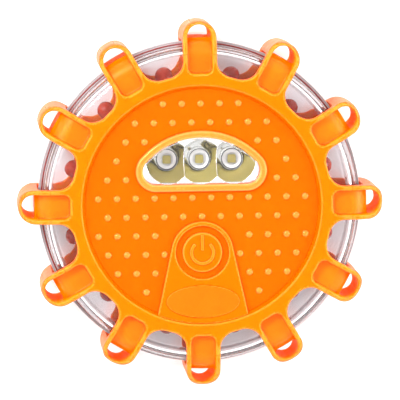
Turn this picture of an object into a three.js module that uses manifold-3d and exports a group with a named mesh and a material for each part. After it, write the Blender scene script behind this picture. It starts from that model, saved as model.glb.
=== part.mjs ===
// LED safety flare: a round emergency disc light with a rubber bumper, red LEDs round its edge,
// a small torch in its face, a magnet and a fold-out hook in its back.
// Millimetres. The disc lies on its back: +Z is out of the face, +Y is 12 o'clock, and the origin
// is the centre of the back plane.

import * as THREE from 'three';
import { mergeVertices } from 'three/addons/utils/BufferGeometryUtils.js';
import Module from 'manifold-3d';

const wasm = await Module();
wasm.setup();

// ---------------------------------------------------------------- driving dimensions

const OVERALL_RADIUS = 52.5;
const THICKNESS = 33;
const MIDDLE = THICKNESS / 2;
const GAP = 0.3;                    // left between two pieces that touch

const BODY_RADIUS = 46.4;           // rear half of the clear housing
const FRONT_RADIUS = 45;            // front half, which leaves a ledge for the seal
const BODY_TOP = 29.2;
const BODY_HALF = BODY_TOP - MIDDLE;
const BODY_BOTTOM = MIDDLE - BODY_HALF;
const SHOULDER = 4;                 // radius that rounds the housing's shoulder
const WALL = 1.8;

const LUG_COUNT = 12;
const LUG_WIDTH = 9.65;
const LUG_WALL = 1.3;
const LUG_ROUNDING = 10.3;          // radius of the lug's profile at its tip
const WEB_RADIUS = 37.3;            // outer edge of the bumper's rings between the lugs
const WEB_FILLET = 3.8;
const SKIN = 0.8;                   // rubber over the housing, inside a lug's loop
const FACE_RADIUS = 33.3;           // opening in the bumper's front and back rings
const FACE_RIM = 34.25;             // the same opening at the ring's top edge
const HOOK_CHANNEL = [30, 40];      // along Y, cut through the back ring

const PANEL_RADIUS = FACE_RADIUS - GAP;
const PANEL_BOTTOM = BODY_TOP + GAP;
const PANEL_TOP = 31.2;
const RAISED_TOP = 32.4;            // top of the pad and of the torch bezel

const DOT_PITCH = 5.37;
const DOT_FIRST_ROW = 2.1;          // height of the row that crosses the middle of the face
const DOT_RADIUS = 0.85;
const DOT_HEIGHT = 0.55;
const DOT_LIMIT = 31.3;             // no dot lies outside this radius
const DOT_CLEARANCE = 1.2;          // from a dot's centre to the bezel or the pad

const TORCH = { endX: 12.85, endY: 9.75, endRadius: 5.85, top: 21.25 };
const BEZEL_WIDTH = 2;
const TORCH_PITCH = 9.35;
const TORCH_Y = 12.3;
const BOWL_RIM = 6.3;
const BOWL_THROAT = 3.1;
const BOWL_FOCUS = 18.1;            // the parabolic bowls focus just below the lit chip

const BUTTON_Y = -13.5;
const BUTTON_RADIUS = 5.7;
const GROOVE_RADIUS = 7.6;
const GROOVE_BOTTOM = 31.3;
const PAD_RADIUS = 8.8;
const PAD_CORNER = [12.9, -31.2];   // where the pad's flared side reaches the panel's edge
const BADGE = { y: -27.5, halfWidth: 10.4, halfHeight: 4.6, height: 0.25 };
const BUTTON_TRAVEL = 0.7;
const BUTTON_TOP = 32.3;
const BUTTON_FLANGE = { radius: 6.9, bottom: 30.2, top: 30.7 };
const PLUNGER = { radius: 1.6, bottom: 22.9 };
const SWITCH = { size: [6, 6, 3], middle: 19.8, radius: 1.7 };
const SYMBOL = { ring: 3.12, stroke: 0.87, gap: 41, barFoot: 0.6, barTop: 5.1, height: 0.3 };

const BOARD_RADIUS = 30.8;
const BOARD_BOTTOM = 16.4;
const BOARD_TOP = 18;
const CHIP = { place: [-14, -10], size: [6, 5, 1.6] };
const SIDE_LED = { radius: 2.5, flange: 2.9, length: 8.6, start: BOARD_RADIUS + 0.5, z: 14.2 };
const TORCH_LED = { radius: 1.7, flange: 2.8, length: 2.7 };
const LEAD = { x: 12, y: 27.4, bow: 0.5, bottom: 8, radius: 0.6, hole: 0.9 };

const CELL_RADIUS = 5.25;           // AAA
const CELL_LENGTH = 44.5;
const CELL_PITCH = 11.2;
const CELL_Z = 9.6;
const TRAY_HALF = [16.85, 25.3];    // inside, along X and Y
const TRAY_WALL = 1.2;
const TRAY_ROOF = 15.1;
const CONTACT = { side: 8, thickness: 0.5 };
const SPRING = { wide: 4, narrow: 1.9, wire: 0.35, turns: 3 };
const CELL_NUB = { radius: 1.9, length: 1 };

const DOOR_BOTTOM = 0.4;
const DOOR_TOP = BODY_BOTTOM - GAP;
const DOOR_CHAMFER = 0.6;
const DOOR_SCREW = { place: [26, 9], headRadius: 2.3, headHeight: 1.1, length: 9, seat: 0.9 };
const MAGNET_RADIUS = 9;
const MAGNET_THICKNESS = 2.2;
const MAGNET_Y = -16;

const HOOK_PIVOT = [29.5, 1.35];    // Y and Z of the hinge line
const HOOK_THICKNESS = 1.3;
const HOOK_ARM = 5.5;
const HOOK_REACH = 26.5;            // from the pivot to the middle of the hook's eye
const HOOK_EYE = [3.75, 6.3];       // inner and outer radius
const HOOK_MOUTH = { y: -1.2, width: 4.4 };
const HOOK_BARREL = 1.1;
const PIN = { radius: 0.5, length: 10, slack: 0.15 };

const HOUSING_SCREW = { fromAxis: 39.5, angles: [60, 120, 240, 300], headRadius: 2.1, headHeight: 1.4,
  length: 17, seat: 4.6 };
const HEAD_SINK = 6.3;              // floor of the counterbore for a housing screw's head
const HEAD_CLEARANCE = 0.3;
const SHANK_RADIUS = 0.9;
const SCREW_BORE = 1.15;
const BOSS_RADIUS = 3;
const DOOR_BOSS = { radius: 2.6, top: 12 };

const ROUND = 48;                   // sides of a large circle
const SMALL_ROUND = 10;

// ---------------------------------------------------------------- materials

const finish = (color, roughness, metalness = 0) => (
  new THREE.MeshStandardMaterial({ color, roughness, metalness }));

const MATERIALS = {
  orangeRubber: finish(0xff9a0a, 0.55),
  deepOrange: finish(0xff7a00, 0.5),
  clearPlastic: finish(0xdfe4e6, 0.08),
  redSilicone: finish(0x8c1a12, 0.5),
  chrome: finish(0xd8dadc, 0.12, 1),
  whiteLed: finish(0xe8dfae, 0.15),
  redLed: finish(0xc23020, 0.15),
  boardGreen: finish(0x1d5a34, 0.45),
  blackPlastic: finish(0x1b1c1e, 0.5),
  greyPlastic: finish(0xc9cccd, 0.5),
  cellWrap: finish(0x2a4f9a, 0.3),
  steel: finish(0xb9bcc0, 0.3, 1),
  magnetNickel: finish(0xcfd1d2, 0.2, 1),
  redWire: finish(0xb81c18, 0.5),
  blackWire: finish(0x17181a, 0.5),
};

// ---------------------------------------------------------------- solids

const turn = (degrees) => THREE.MathUtils.degToRad(degrees);

// Points along an arc, both ends included.
function arc([x, y], radius, start, end, steps) {
  return Array.from({ length: steps + 1 }, (_, i) => {
    const angle = start + (end - start) * i / steps;
    return [x + radius * Math.cos(angle), y + radius * Math.sin(angle)];
  });
}

const circle = (centre, radius, sides) => arc(centre, radius, 0, 2 * Math.PI, sides).slice(1);

const rectangle = (halfX, halfY) => [[-halfX, -halfY], [halfX, -halfY], [halfX, halfY], [-halfX, halfY]];

function roundedRectangle(halfX, halfY, radius) {
  const corners = [[1, 1], [-1, 1], [-1, -1], [1, -1]];
  return corners.flatMap(([sx, sy], i) => (
    arc([sx * (halfX - radius), sy * (halfY - radius)], radius, i * Math.PI / 2, (i + 1) * Math.PI / 2, 4)));
}

// A closed geometry welded into a manifold solid whose faces point out.
function toSolid(geometry) {
  geometry.deleteAttribute('normal');
  geometry.deleteAttribute('uv');
  const welded = mergeVertices(geometry, 1e-4);
  const corners = welded.index.array;
  const points = welded.attributes.position;
  const at = (i) => new THREE.Vector3().fromBufferAttribute(points, i);
  const triangles = [];
  let volume = 0;
  for (let i = 0; i < corners.length; i += 3) {
    const [a, b, c] = corners.slice(i, i + 3);
    if (a === b || b === c || c === a) continue;
    triangles.push([a, b, c]);
    volume += at(a).dot(at(b).cross(at(c)));
  }
  const facing = volume < 0 ? triangles.map(([a, b, c]) => [a, c, b]) : triangles;
  return new wasm.Manifold(new wasm.Mesh({
    numProp: 3,
    vertProperties: new Float32Array(points.array),
    triVerts: new Uint32Array(facing.flat()),
  }));
}

function prism(outline, bottom, top) {
  const shape = new THREE.Shape(outline.map(([x, y]) => new THREE.Vector2(x, y)));
  const depth = top - bottom;
  return toSolid(new THREE.ExtrudeGeometry(shape, { depth, bevelEnabled: false }).translate(0, 0, bottom));
}

// A profile of [radius, height] points turned about the Z axis.
function turned(profile, sides = ROUND) {
  const points = profile.map(([radius, height]) => new THREE.Vector2(radius, height));
  return toSolid(new THREE.LatheGeometry(points, sides).rotateX(Math.PI / 2));
}

const cylinder = ([x, y], radius, bottom, top, sides = SMALL_ROUND) => (
  prism(circle([x, y], radius, sides), bottom, top));

const block = ([x, y, z], [width, depth, height]) => (
  toSolid(new THREE.BoxGeometry(width, depth, height).translate(x, y, z)));

function tube(curve, radius, sides, steps) {
  const shape = new THREE.Shape(circle([0, 0], radius, sides).map(([x, y]) => new THREE.Vector2(x, y)));
  return toSolid(new THREE.ExtrudeGeometry(shape, { steps, extrudePath: curve, bevelEnabled: false }));
}

const joined = (solids) => solids.reduce((whole, solid) => whole.add(solid));
const cut = (whole, tools) => tools.reduce((rest, tool) => rest.subtract(tool), whole);

const rotated = ([x, y], angle) => [
  x * Math.cos(angle) - y * Math.sin(angle),
  x * Math.sin(angle) + y * Math.cos(angle),
];

// ---------------------------------------------------------------- the assembly

const flare = new THREE.Group();
const lugAngles = Array.from({ length: LUG_COUNT }, (_, i) => i * 2 * Math.PI / LUG_COUNT);

function piece(name, solid, material, parent = flare) {
  const { vertProperties, triVerts } = solid.getMesh();
  const geometry = new THREE.BufferGeometry();
  geometry.setAttribute('position', new THREE.BufferAttribute(vertProperties, 3));
  geometry.setIndex(new THREE.BufferAttribute(triVerts, 1));
  geometry.computeVertexNormals();
  const mesh = new THREE.Mesh(geometry, material);
  mesh.name = name;
  parent.add(mesh);
  return mesh;
}

// ---------------------------------------------------------------- clear housing

// The outline of a flat disc with rounded edges, centred on the middle plane, as a turned profile.
function discProfile(radius, halfHeight, rounding, steps) {
  const inner = radius - rounding;
  const upper = MIDDLE + halfHeight - rounding;
  const lower = MIDDLE - halfHeight + rounding;
  return [
    [0, MIDDLE - halfHeight],
    ...arc([inner, lower], rounding, -Math.PI / 2, 0, steps),
    ...arc([inner, upper], rounding, 0, Math.PI / 2, steps),
    [0, MIDDLE + halfHeight],
  ];
}

// The space the housing fills, grown on every side.
const bodySpace = (growth) => (
  turned(discProfile(BODY_RADIUS + growth, BODY_HALF + growth, SHOULDER + growth, 3)));

const SEAM_GAP = GAP / 2;
const TONGUE = 2;                   // how far the front half reaches into the rear half
const SEAL = { inner: 45.2, outer: 45.8, bottom: MIDDLE, top: MIDDLE + 0.6 };

// One half of the housing as a turned cup. Heights are measured from the middle plane, and foot
// holds the points that end its wall on the inside.
function housingCup(side, radius, foot) {
  const corner = [radius - SHOULDER, BODY_HALF - SHOULDER];
  const profile = [
    [0, BODY_HALF - WALL],
    ...arc(corner, SHOULDER - WALL, Math.PI / 2, 0, 2),
    ...foot,
    [radius, SEAM_GAP],
    ...arc(corner, SHOULDER, 0, Math.PI / 2, 3),
    [0, BODY_HALF],
  ];
  return turned(profile.map(([out, height]) => [out, MIDDLE + side * height]));
}

const housingScrewPlaces = HOUSING_SCREW.angles.map((degrees) => (
  rotated([HOUSING_SCREW.fromAxis, 0], turn(degrees))));
const doorScrewPlaces = [[1, 1], [-1, 1], [-1, -1], [1, -1]]
  .map(([sx, sy]) => [sx * DOOR_SCREW.place[0], sy * DOOR_SCREW.place[1]]);

function makeFrontHousing() {
  const foot = MIDDLE + SEAM_GAP;
  const bosses = housingScrewPlaces.map((place) => (
    cylinder(place, BOSS_RADIUS, foot, BODY_TOP - WALL / 2)));
  const boreTop = HOUSING_SCREW.seat + HOUSING_SCREW.length + 2;
  const bores = housingScrewPlaces.map((place) => cylinder(place, SCREW_BORE, 0, boreTop));
  const torchOpening = prism(torchOutline(BEZEL_WIDTH / 2 - GAP), MIDDLE, THICKNESS);
  const plungerOpening = cylinder([0, BUTTON_Y], PLUNGER.radius + 0.4, MIDDLE, THICKNESS);
  const tongue = BODY_RADIUS - WALL - GAP;
  const lip = [[FRONT_RADIUS - WALL, -TONGUE], [tongue, -TONGUE], [tongue, SEAM_GAP]];
  const shell = joined([housingCup(1, FRONT_RADIUS, lip), ...bosses]);
  piece('front_housing', cut(shell, [...bores, torchOpening, plungerOpening]), MATERIALS.clearPlastic);
}

function makeRearHousing() {
  const floor = BODY_BOTTOM + WALL / 2;
  const bosses = housingScrewPlaces.map((place) => cylinder(place, BOSS_RADIUS, floor, MIDDLE - SEAM_GAP));
  const doorBosses = doorScrewPlaces.map((place) => (
    cylinder(place, DOOR_BOSS.radius, floor, DOOR_BOSS.top)));
  const bores = housingScrewPlaces.flatMap((place) => [
    cylinder(place, SCREW_BORE, 0, THICKNESS),
    cylinder(place, HOUSING_SCREW.headRadius + HEAD_CLEARANCE, 0, HEAD_SINK),
  ]);
  const doorBores = doorScrewPlaces.map((place) => cylinder(place, SCREW_BORE, 0, DOOR_BOSS.top - 1));
  const cellOpening = prism(rectangle(...TRAY_HALF), 0, BODY_BOTTOM + 2 * WALL);
  const rim = [[BODY_RADIUS - WALL, SEAM_GAP]];
  const shell = joined([housingCup(-1, BODY_RADIUS, rim), ...bosses, ...doorBosses]);
  piece('rear_housing', cut(shell, [...bores, ...doorBores, cellOpening]), MATERIALS.clearPlastic);
}

// The seal lies on the ledge of the rear half, round the foot of the front half.
function makeHousingSeal() {
  const { inner, outer, bottom, top } = SEAL;
  const section = [[inner, bottom], [outer, bottom], [outer, top], [inner, top], [inner, bottom]];
  piece('housing_seal', turned(section), MATERIALS.redSilicone);
}

// ---------------------------------------------------------------- rubber bumper

// Outline of the bumper seen from the front: a disc with a round-ended lug at every step.
// Each lug's sides run parallel to its own axis and meet the disc in a fillet.
function bumperOutline() {
  const half = LUG_WIDTH / 2;
  const filletSide = half + WEB_FILLET;
  const filletOut = Math.sqrt((WEB_RADIUS + WEB_FILLET) ** 2 - filletSide ** 2);
  const lean = Math.atan2(filletSide, filletOut);
  const lug = [
    ...arc([filletOut, -filletSide], WEB_FILLET, Math.PI - lean, Math.PI / 2, 2),
    ...arc([OVERALL_RADIUS - half, 0], half, -Math.PI / 2, Math.PI / 2, 6),
    ...arc([filletOut, filletSide], WEB_FILLET, -Math.PI / 2, lean - Math.PI, 2),
  ];
  return lugAngles.flatMap((angle) => lug.map((point) => rotated(point, angle)));
}

// The slot inside a lug's loop, on a lug that points along +X.
function loopOutline() {
  const half = LUG_WIDTH / 2 - LUG_WALL;
  const corner = 2;
  const start = WEB_RADIUS + 0.1;
  return [
    ...arc([start + corner, half - corner], corner, Math.PI / 2, Math.PI, 2),
    ...arc([start + corner, corner - half], corner, Math.PI, 3 * Math.PI / 2, 2),
    ...arc([OVERALL_RADIUS - LUG_WIDTH / 2, 0], half, -Math.PI / 2, Math.PI / 2, 5),
  ];
}

function makeBumper() {
  const slab = prism(bumperOutline(), 0, THICKNESS);
  const rounded = slab.intersect(turned(discProfile(OVERALL_RADIUS, MIDDLE, LUG_ROUNDING, 4)));
  const skin = bodySpace(GAP + SKIN);
  const loops = lugAngles.map((angle) => (
    prism(loopOutline().map((point) => rotated(point, angle)), -1, THICKNESS + 1)));
  const faceOpening = turned([
    [0, MIDDLE], [FACE_RADIUS, MIDDLE], [FACE_RADIUS, PANEL_TOP],
    [FACE_RIM, THICKNESS], [FACE_RIM, THICKNESS + 1], [0, THICKNESS + 1],
  ]);
  const doorOpening = cylinder([0, 0], FACE_RADIUS, -1, MIDDLE, ROUND);
  const hookNotch = hookChannel();
  const hollow = joined([bodySpace(GAP), ...loops.map((loop) => loop.subtract(skin))]);
  piece('rubber_bumper', cut(rounded, [hollow, faceOpening, doorOpening, hookNotch]),
    MATERIALS.orangeRubber);
}

// The channel through the back ring that lets the hook fold out past the rim.
function hookChannel() {
  const half = LUG_WIDTH / 2 - LUG_WALL;
  const [start, end] = HOOK_CHANNEL;
  return prism([[-half, start], [half, start], [half, end], [-half, end]], -1, BODY_BOTTOM - GAP - SKIN);
}

// ---------------------------------------------------------------- front panel and torch

// The torch window: a flat bottom, round ends and an arched top, drawn inwards by an inset.
// The arch is the circle that touches both ends and the top.
function torchOutline(inset) {
  const { endX, endY, endRadius, top } = TORCH;
  const rise = top - endY;
  const archRadius = (endX ** 2 + rise ** 2 - endRadius ** 2) / (2 * (rise - endRadius));
  const archY = top - archRadius;
  const touch = Math.atan2(endY - archY, endX);
  return [
    ...arc([endX, endY], endRadius - inset, -Math.PI / 2, touch, 6),
    ...arc([0, archY], archRadius - inset, touch, Math.PI - touch, 10).slice(1, -1),
    ...arc([-endX, endY], endRadius - inset, Math.PI - touch, 3 * Math.PI / 2, 6),
  ];
}

// The pad: an arc over the button, then two straight sides that flare to the panel's edge.
function padOutline(growth = 0) {
  const [cornerX, cornerY] = PAD_CORNER;
  const radius = PAD_RADIUS + growth;
  const distance = Math.hypot(cornerX, cornerY - BUTTON_Y);
  const touch = Math.atan2(cornerY - BUTTON_Y, cornerX) + Math.acos(PAD_RADIUS / distance);
  const side = growth / Math.cos(touch);
  return [
    ...arc([0, BUTTON_Y], radius, touch, Math.PI - touch, 16),
    [-cornerX - side, cornerY],
    [-cornerX / 2, cornerY - 4],
    [cornerX / 2, cornerY - 4],
    [cornerX + side, cornerY],
  ];
}

function isInside([x, y], outline) {
  let inside = false;
  outline.forEach(([ax, ay], i) => {
    const [bx, by] = outline[(i + 1) % outline.length];
    if ((ay > y) !== (by > y) && x < ax + (bx - ax) * (y - ay) / (by - ay)) inside = !inside;
  });
  return inside;
}

// A staggered grid of dots, left out where the torch, the pad or the panel's edge comes close.
function dotPlaces() {
  const torch = torchOutline(-DOT_CLEARANCE);
  const pad = padOutline(DOT_CLEARANCE);
  const places = [];
  for (let row = -6; row <= 6; row += 1) {
    for (let column = -6; column <= 6; column += 1) {
      const stagger = row % 2 === 0 ? 0.5 : 0;
      const place = [(column + stagger) * DOT_PITCH, DOT_FIRST_ROW + row * DOT_PITCH];
      if (Math.hypot(...place) > DOT_LIMIT) continue;
      if (!isInside(place, torch) && !isInside(place, pad)) places.push(place);
    }
  }
  return places;
}

function makeFrontPanel() {
  const disc = cylinder([0, 0], PANEL_RADIUS, PANEL_BOTTOM, PANEL_TOP, ROUND);
  const rim = cylinder([0, 0], PANEL_RADIUS, PANEL_BOTTOM, THICKNESS, ROUND);
  const pad = prism(padOutline(), PANEL_BOTTOM, RAISED_TOP).intersect(rim);
  const bezel = prism(torchOutline(0), PANEL_BOTTOM, RAISED_TOP);
  const badgeOutline = circle([0, 0], 1, 20)
    .map(([x, y]) => [x * BADGE.halfWidth, BADGE.y + y * BADGE.halfHeight]);
  const badge = prism(badgeOutline, RAISED_TOP - 0.5, RAISED_TOP + BADGE.height).intersect(rim);
  const dot = turned([[0, -0.2], [DOT_RADIUS, -0.2], [DOT_RADIUS / 2, DOT_HEIGHT], [0, DOT_HEIGHT]], 6);
  const dots = dotPlaces().map(([x, y]) => dot.translate([x, y, PANEL_TOP]));
  const openings = [
    prism(torchOutline(BEZEL_WIDTH), 0, THICKNESS + 1),
    cylinder([0, BUTTON_Y], GROOVE_RADIUS, GROOVE_BOTTOM, THICKNESS + 1, 24),
    cylinder([0, BUTTON_Y], BUTTON_RADIUS + GAP, 0, THICKNESS + 1, 24),
    cylinder([0, BUTTON_Y], BUTTON_RADIUS + 1.6, 0, GROOVE_BOTTOM - 0.4, 24),
  ];
  piece('front_panel', cut(joined([disc, pad, bezel, badge, ...dots]), openings), MATERIALS.deepOrange);
}

function makeTorch() {
  piece('torch_lens', prism(torchOutline(BEZEL_WIDTH + GAP), PANEL_BOTTOM, 31), MATERIALS.clearPlastic);

  const rise = BODY_TOP - BOWL_FOCUS;
  const focalLength = (Math.hypot(rise, BOWL_RIM) - rise) / 2;
  const bowlProfile = Array.from({ length: 5 }, (_, i) => {
    const radius = BOWL_THROAT + (BOWL_RIM - BOWL_THROAT) * i / 4;
    return [radius, BOWL_FOCUS - focalLength + radius ** 2 / (4 * focalLength)];
  });
  const bottom = BOARD_TOP + GAP + 0.1;
  const bowl = turned([[0, bottom - 1], [BOWL_THROAT, bottom - 1], ...bowlProfile,
    [BOWL_RIM, THICKNESS], [0, THICKNESS]], 18);
  const places = [-1, 0, 1].map((step) => [step * TORCH_PITCH, TORCH_Y]);
  const inside = prism(torchOutline(BEZEL_WIDTH / 2 + 0.4), 0, THICKNESS);
  const bowls = places.map(([x, y]) => bowl.translate([x, y, 0]).intersect(inside));
  const body = prism(torchOutline(BEZEL_WIDTH / 2), bottom, BODY_TOP);
  piece('torch_reflector', cut(body, bowls), MATERIALS.chrome);

  const led = ledSolid(TORCH_LED, 12);
  ['left', 'middle', 'right'].forEach((side, i) => {
    const mesh = piece(`torch_led_${side}`, led, MATERIALS.whiteLed);
    mesh.position.set(places[i][0], places[i][1], BOARD_TOP + GAP);
  });
}

// A round-topped LED standing on the origin, with a flange 1 mm thick at its foot.
function ledSolid({ radius, flange, length }, sides) {
  const dome = arc([0, length - radius], radius, 0, Math.PI / 2, 2);
  const foot = [[0, 0], [flange, 0], [flange, 1], [radius, 1]];
  return turned([...foot, ...dome.filter(([, height]) => height > 1.01)], sides);
}

// ---------------------------------------------------------------- power button

// The power symbol: an open ring with a bar through its gap.
function symbolSolids() {
  const { ring, stroke, gap, barFoot, barTop, height } = SYMBOL;
  const start = turn(90 + gap);
  const end = turn(450 - gap);
  const centre = [0, BUTTON_Y];
  const ringOutline = [
    ...arc(centre, ring - stroke / 2, end, start, 14),
    ...arc(centre, ring + stroke / 2, start, end, 14),
  ];
  const bar = [[-stroke / 2, barFoot], [stroke / 2, barFoot], [stroke / 2, barTop], [-stroke / 2, barTop]]
    .map(([x, y]) => [x, BUTTON_Y + y]);
  return [ringOutline, bar].map((outline) => prism(outline, BUTTON_TOP - 0.3, BUTTON_TOP + height));
}

function makePowerButton() {
  const { radius, bottom, top } = BUTTON_FLANGE;
  const bevel = 0.4;
  const cap = turned([[0, bottom], [radius, bottom], [radius, top], [BUTTON_RADIUS, top],
    [BUTTON_RADIUS, BUTTON_TOP - bevel], [BUTTON_RADIUS - bevel, BUTTON_TOP], [0, BUTTON_TOP]], 24);
  piece('power_button', joined([cap.translate([0, BUTTON_Y, 0]), ...symbolSolids()]),
    MATERIALS.orangeRubber);

  const plunger = cylinder([0, BUTTON_Y], PLUNGER.radius, PLUNGER.bottom, bottom - GAP);
  piece('button_plunger', plunger, MATERIALS.greyPlastic);

  const switchTop = PLUNGER.bottom - BUTTON_TRAVEL - 0.1;
  const actuator = cylinder([0, BUTTON_Y], SWITCH.radius, SWITCH.middle, switchTop);
  const base = block([0, BUTTON_Y, SWITCH.middle], SWITCH.size);
  piece('tact_switch', base.add(actuator), MATERIALS.blackPlastic);
}

// ---------------------------------------------------------------- electronics

function makeBoard() {
  const board = cylinder([0, 0], BOARD_RADIUS, BOARD_BOTTOM, BOARD_TOP, ROUND);
  const leadHoles = [-1, 1].map((side) => cylinder([side * LEAD.x, LEAD.y], LEAD.hole, 0, THICKNESS, 8));
  piece('main_board', cut(board, leadHoles), MATERIALS.boardGreen);
  const chipMiddle = BOARD_TOP + GAP + CHIP.size[2] / 2;
  piece('driver_chip', block([...CHIP.place, chipMiddle], CHIP.size), MATERIALS.blackPlastic);
}

// Twelve LEDs lie between the lugs and point outwards.
function makeSideLeds() {
  const led = ledSolid(SIDE_LED, 8);
  lugAngles.forEach((lugAngle, i) => {
    const angle = lugAngle + Math.PI / LUG_COUNT;
    const mesh = piece(`side_led_${String(i + 1).padStart(2, '0')}`, led, MATERIALS.redLed);
    mesh.position.set(SIDE_LED.start * Math.cos(angle), SIDE_LED.start * Math.sin(angle), SIDE_LED.z);
    mesh.rotation.set(0, Math.PI / 2, angle, 'ZYX');
  });
}

// ---------------------------------------------------------------- battery bay

class ConeHelix extends THREE.Curve {
  constructor({ wide, narrow, length, turns }) {
    super();
    Object.assign(this, { wide, narrow, length, turns });
  }

  getPoint(t) {
    const radius = this.wide + (this.narrow - this.wide) * t;
    const angle = t * this.turns * 2 * Math.PI;
    return new THREE.Vector3(radius * Math.cos(angle), this.length * t, radius * Math.sin(angle));
  }
}

function makeTray() {
  const [halfX, halfY] = TRAY_HALF;
  const bottom = BODY_BOTTOM + WALL + GAP;
  const outer = prism(rectangle(halfX + TRAY_WALL, halfY + TRAY_WALL), bottom, TRAY_ROOF + 1);
  piece('battery_tray', outer.subtract(prism(rectangle(halfX, halfY), 0, TRAY_ROOF)),
    MATERIALS.blackPlastic);
}

// Three cells side by side, the middle one the other way round, each with a contact and a spring.
function makeCells() {
  const wallY = TRAY_HALF[1];
  const cellStart = wallY - 2 * GAP - CONTACT.thickness - CELL_LENGTH;
  const bodyLength = CELL_LENGTH - CELL_NUB.length;
  const cell = turned([[0, 0], [CELL_RADIUS, 0], [CELL_RADIUS, bodyLength],
    [CELL_NUB.radius, bodyLength], [CELL_NUB.radius, CELL_LENGTH], [0, CELL_LENGTH]], 16);
  const { wire, ...coil } = SPRING;
  const helix = new ConeHelix({ ...coil, length: wallY + cellStart - 2 * GAP - 2 * wire });
  const spring = tube(helix, wire, 4, 9 * SPRING.turns);
  const contact = block([0, wallY - GAP - CONTACT.thickness / 2, 0],
    [CONTACT.side, CONTACT.thickness, CONTACT.side]);
  [-1, 0, 1].forEach((column) => {
    const bay = new THREE.Group();
    bay.position.set(column * CELL_PITCH, 0, CELL_Z);
    bay.rotation.z = column === 0 ? Math.PI : 0;
    flare.add(bay);
    const number = column + 2;
    const cellMesh = piece(`battery_cell_${number}`, cell, MATERIALS.cellWrap, bay);
    cellMesh.rotation.x = -Math.PI / 2;
    cellMesh.position.y = cellStart;
    const springMesh = piece(`cell_spring_${number}`, spring, MATERIALS.steel, bay);
    springMesh.position.y = GAP + wire - wallY;
    piece(`cell_contact_${number}`, contact, MATERIALS.steel, bay);
  });
}

// A wire from the tray up into its hole in the board, bowed a little outwards.
function makeLead(name, side, material) {
  const top = BOARD_BOTTOM - 0.2;
  const stops = [[LEAD.y, LEAD.bottom], [LEAD.y + LEAD.bow, (LEAD.bottom + top) / 2], [LEAD.y, top]];
  const route = stops.map(([y, z]) => new THREE.Vector3(side * LEAD.x, y, z));
  piece(name, tube(new THREE.CatmullRomCurve3(route), LEAD.radius, 6, 6), material);
}

// ---------------------------------------------------------------- back: door, magnet, hook, screws

// The hook in its folded place: an arm from the pivot and a round eye, grown to cut its recess.
function hookBlank(growth) {
  const [pivotY, pivotZ] = HOOK_PIVOT;
  const eye = [0, pivotY - HOOK_REACH];
  const half = HOOK_ARM / 2 + growth;
  const armStart = eye[1] + HOOK_EYE[1] - 1;
  const bottom = pivotZ - HOOK_THICKNESS / 2;
  const top = pivotZ + HOOK_THICKNESS / 2 + growth;
  const arm = prism([[-half, armStart], [half, armStart], [half, pivotY], [-half, pivotY]], bottom, top);
  return arm.add(cylinder(eye, HOOK_EYE[1] + growth, bottom, top, 24));
}

function crosswisePin(radius, length) {
  const [pivotY, pivotZ] = HOOK_PIVOT;
  const pin = cylinder([0, 0], radius, -length / 2, length / 2);
  return pin.rotate([0, 90, 0]).translate([0, pivotY, pivotZ]);
}

function makeHook() {
  const [pivotY, pivotZ] = HOOK_PIVOT;
  const eyeY = pivotY - HOOK_REACH;
  const mouthLength = 10;
  const mouth = block([mouthLength / 2, eyeY + HOOK_MOUTH.y, pivotZ], [mouthLength, HOOK_MOUTH.width, 4]);
  const blank = hookBlank(0).add(crosswisePin(HOOK_BARREL, HOOK_ARM));
  const eye = cylinder([0, eyeY], HOOK_EYE[0], -1, 4, 20);
  const bore = crosswisePin(PIN.radius + PIN.slack, PIN.length);
  piece('hanging_hook', cut(blank, [eye, mouth, bore]), MATERIALS.steel);
  piece('hook_pin', crosswisePin(PIN.radius, PIN.length), MATERIALS.steel);
}

// The pocket for the folded hook, with room round its barrel and a way out over the door's edge.
function hookPocket() {
  const [pivotY, pivotZ] = HOOK_PIVOT;
  const width = HOOK_ARM + 2 * GAP;
  const lower = hookBlank(GAP).translate([0, 0, -1]);
  const roundBarrel = block([0, pivotY, 1], [width, 3.2, 2 * (pivotZ + 0.3)]);
  const wayOut = block([0, pivotY + 2, 0.5], [width, 8, 4.1]);
  return joined([hookBlank(GAP), lower, roundBarrel, wayOut]);
}

// A flat ring with rounded corners round the battery opening.
function openingRing(innerGrowth, outerGrowth, bottom, top) {
  const [halfX, halfY] = TRAY_HALF;
  return prism(roundedRectangle(halfX + outerGrowth, halfY + outerGrowth, 3), bottom, top)
    .subtract(prism(roundedRectangle(halfX + innerGrowth, halfY + innerGrowth, 2), 0, THICKNESS));
}

function makeDoor() {
  const disc = turned([[0, DOOR_BOTTOM], [PANEL_RADIUS - DOOR_CHAMFER, DOOR_BOTTOM],
    [PANEL_RADIUS, DOOR_BOTTOM + DOOR_CHAMFER], [PANEL_RADIUS, DOOR_TOP], [0, DOOR_TOP]]);
  const magnetTop = DOOR_BOTTOM + MAGNET_THICKNESS;
  const magnetPocket = cylinder([0, MAGNET_Y], MAGNET_RADIUS + GAP, -1, magnetTop + GAP, 24);
  const headTop = DOOR_SCREW.seat + DOOR_SCREW.headHeight;
  const screwHoles = doorScrewPlaces.flatMap((place) => [
    cylinder(place, SCREW_BORE + HEAD_CLEARANCE, 0, THICKNESS),
    cylinder(place, DOOR_SCREW.headRadius + HEAD_CLEARANCE, -1, headTop + 0.2),
  ]);
  const grooveBottom = DOOR_TOP - 0.5;
  const pinHole = crosswisePin(PIN.radius + PIN.slack, PIN.length + 2 * GAP);
  piece('battery_door', cut(disc, [hookPocket(), magnetPocket, ...screwHoles,
    openingRing(0.3, 1.9, grooveBottom, THICKNESS), pinHole]), MATERIALS.orangeRubber);
  piece('door_seal', openingRing(0.5, 1.7, grooveBottom + 0.15, DOOR_TOP + 0.15), MATERIALS.redSilicone);
  piece('magnet', cylinder([0, MAGNET_Y], MAGNET_RADIUS, DOOR_BOTTOM, magnetTop, 24),
    MATERIALS.magnetNickel);
}

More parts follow.
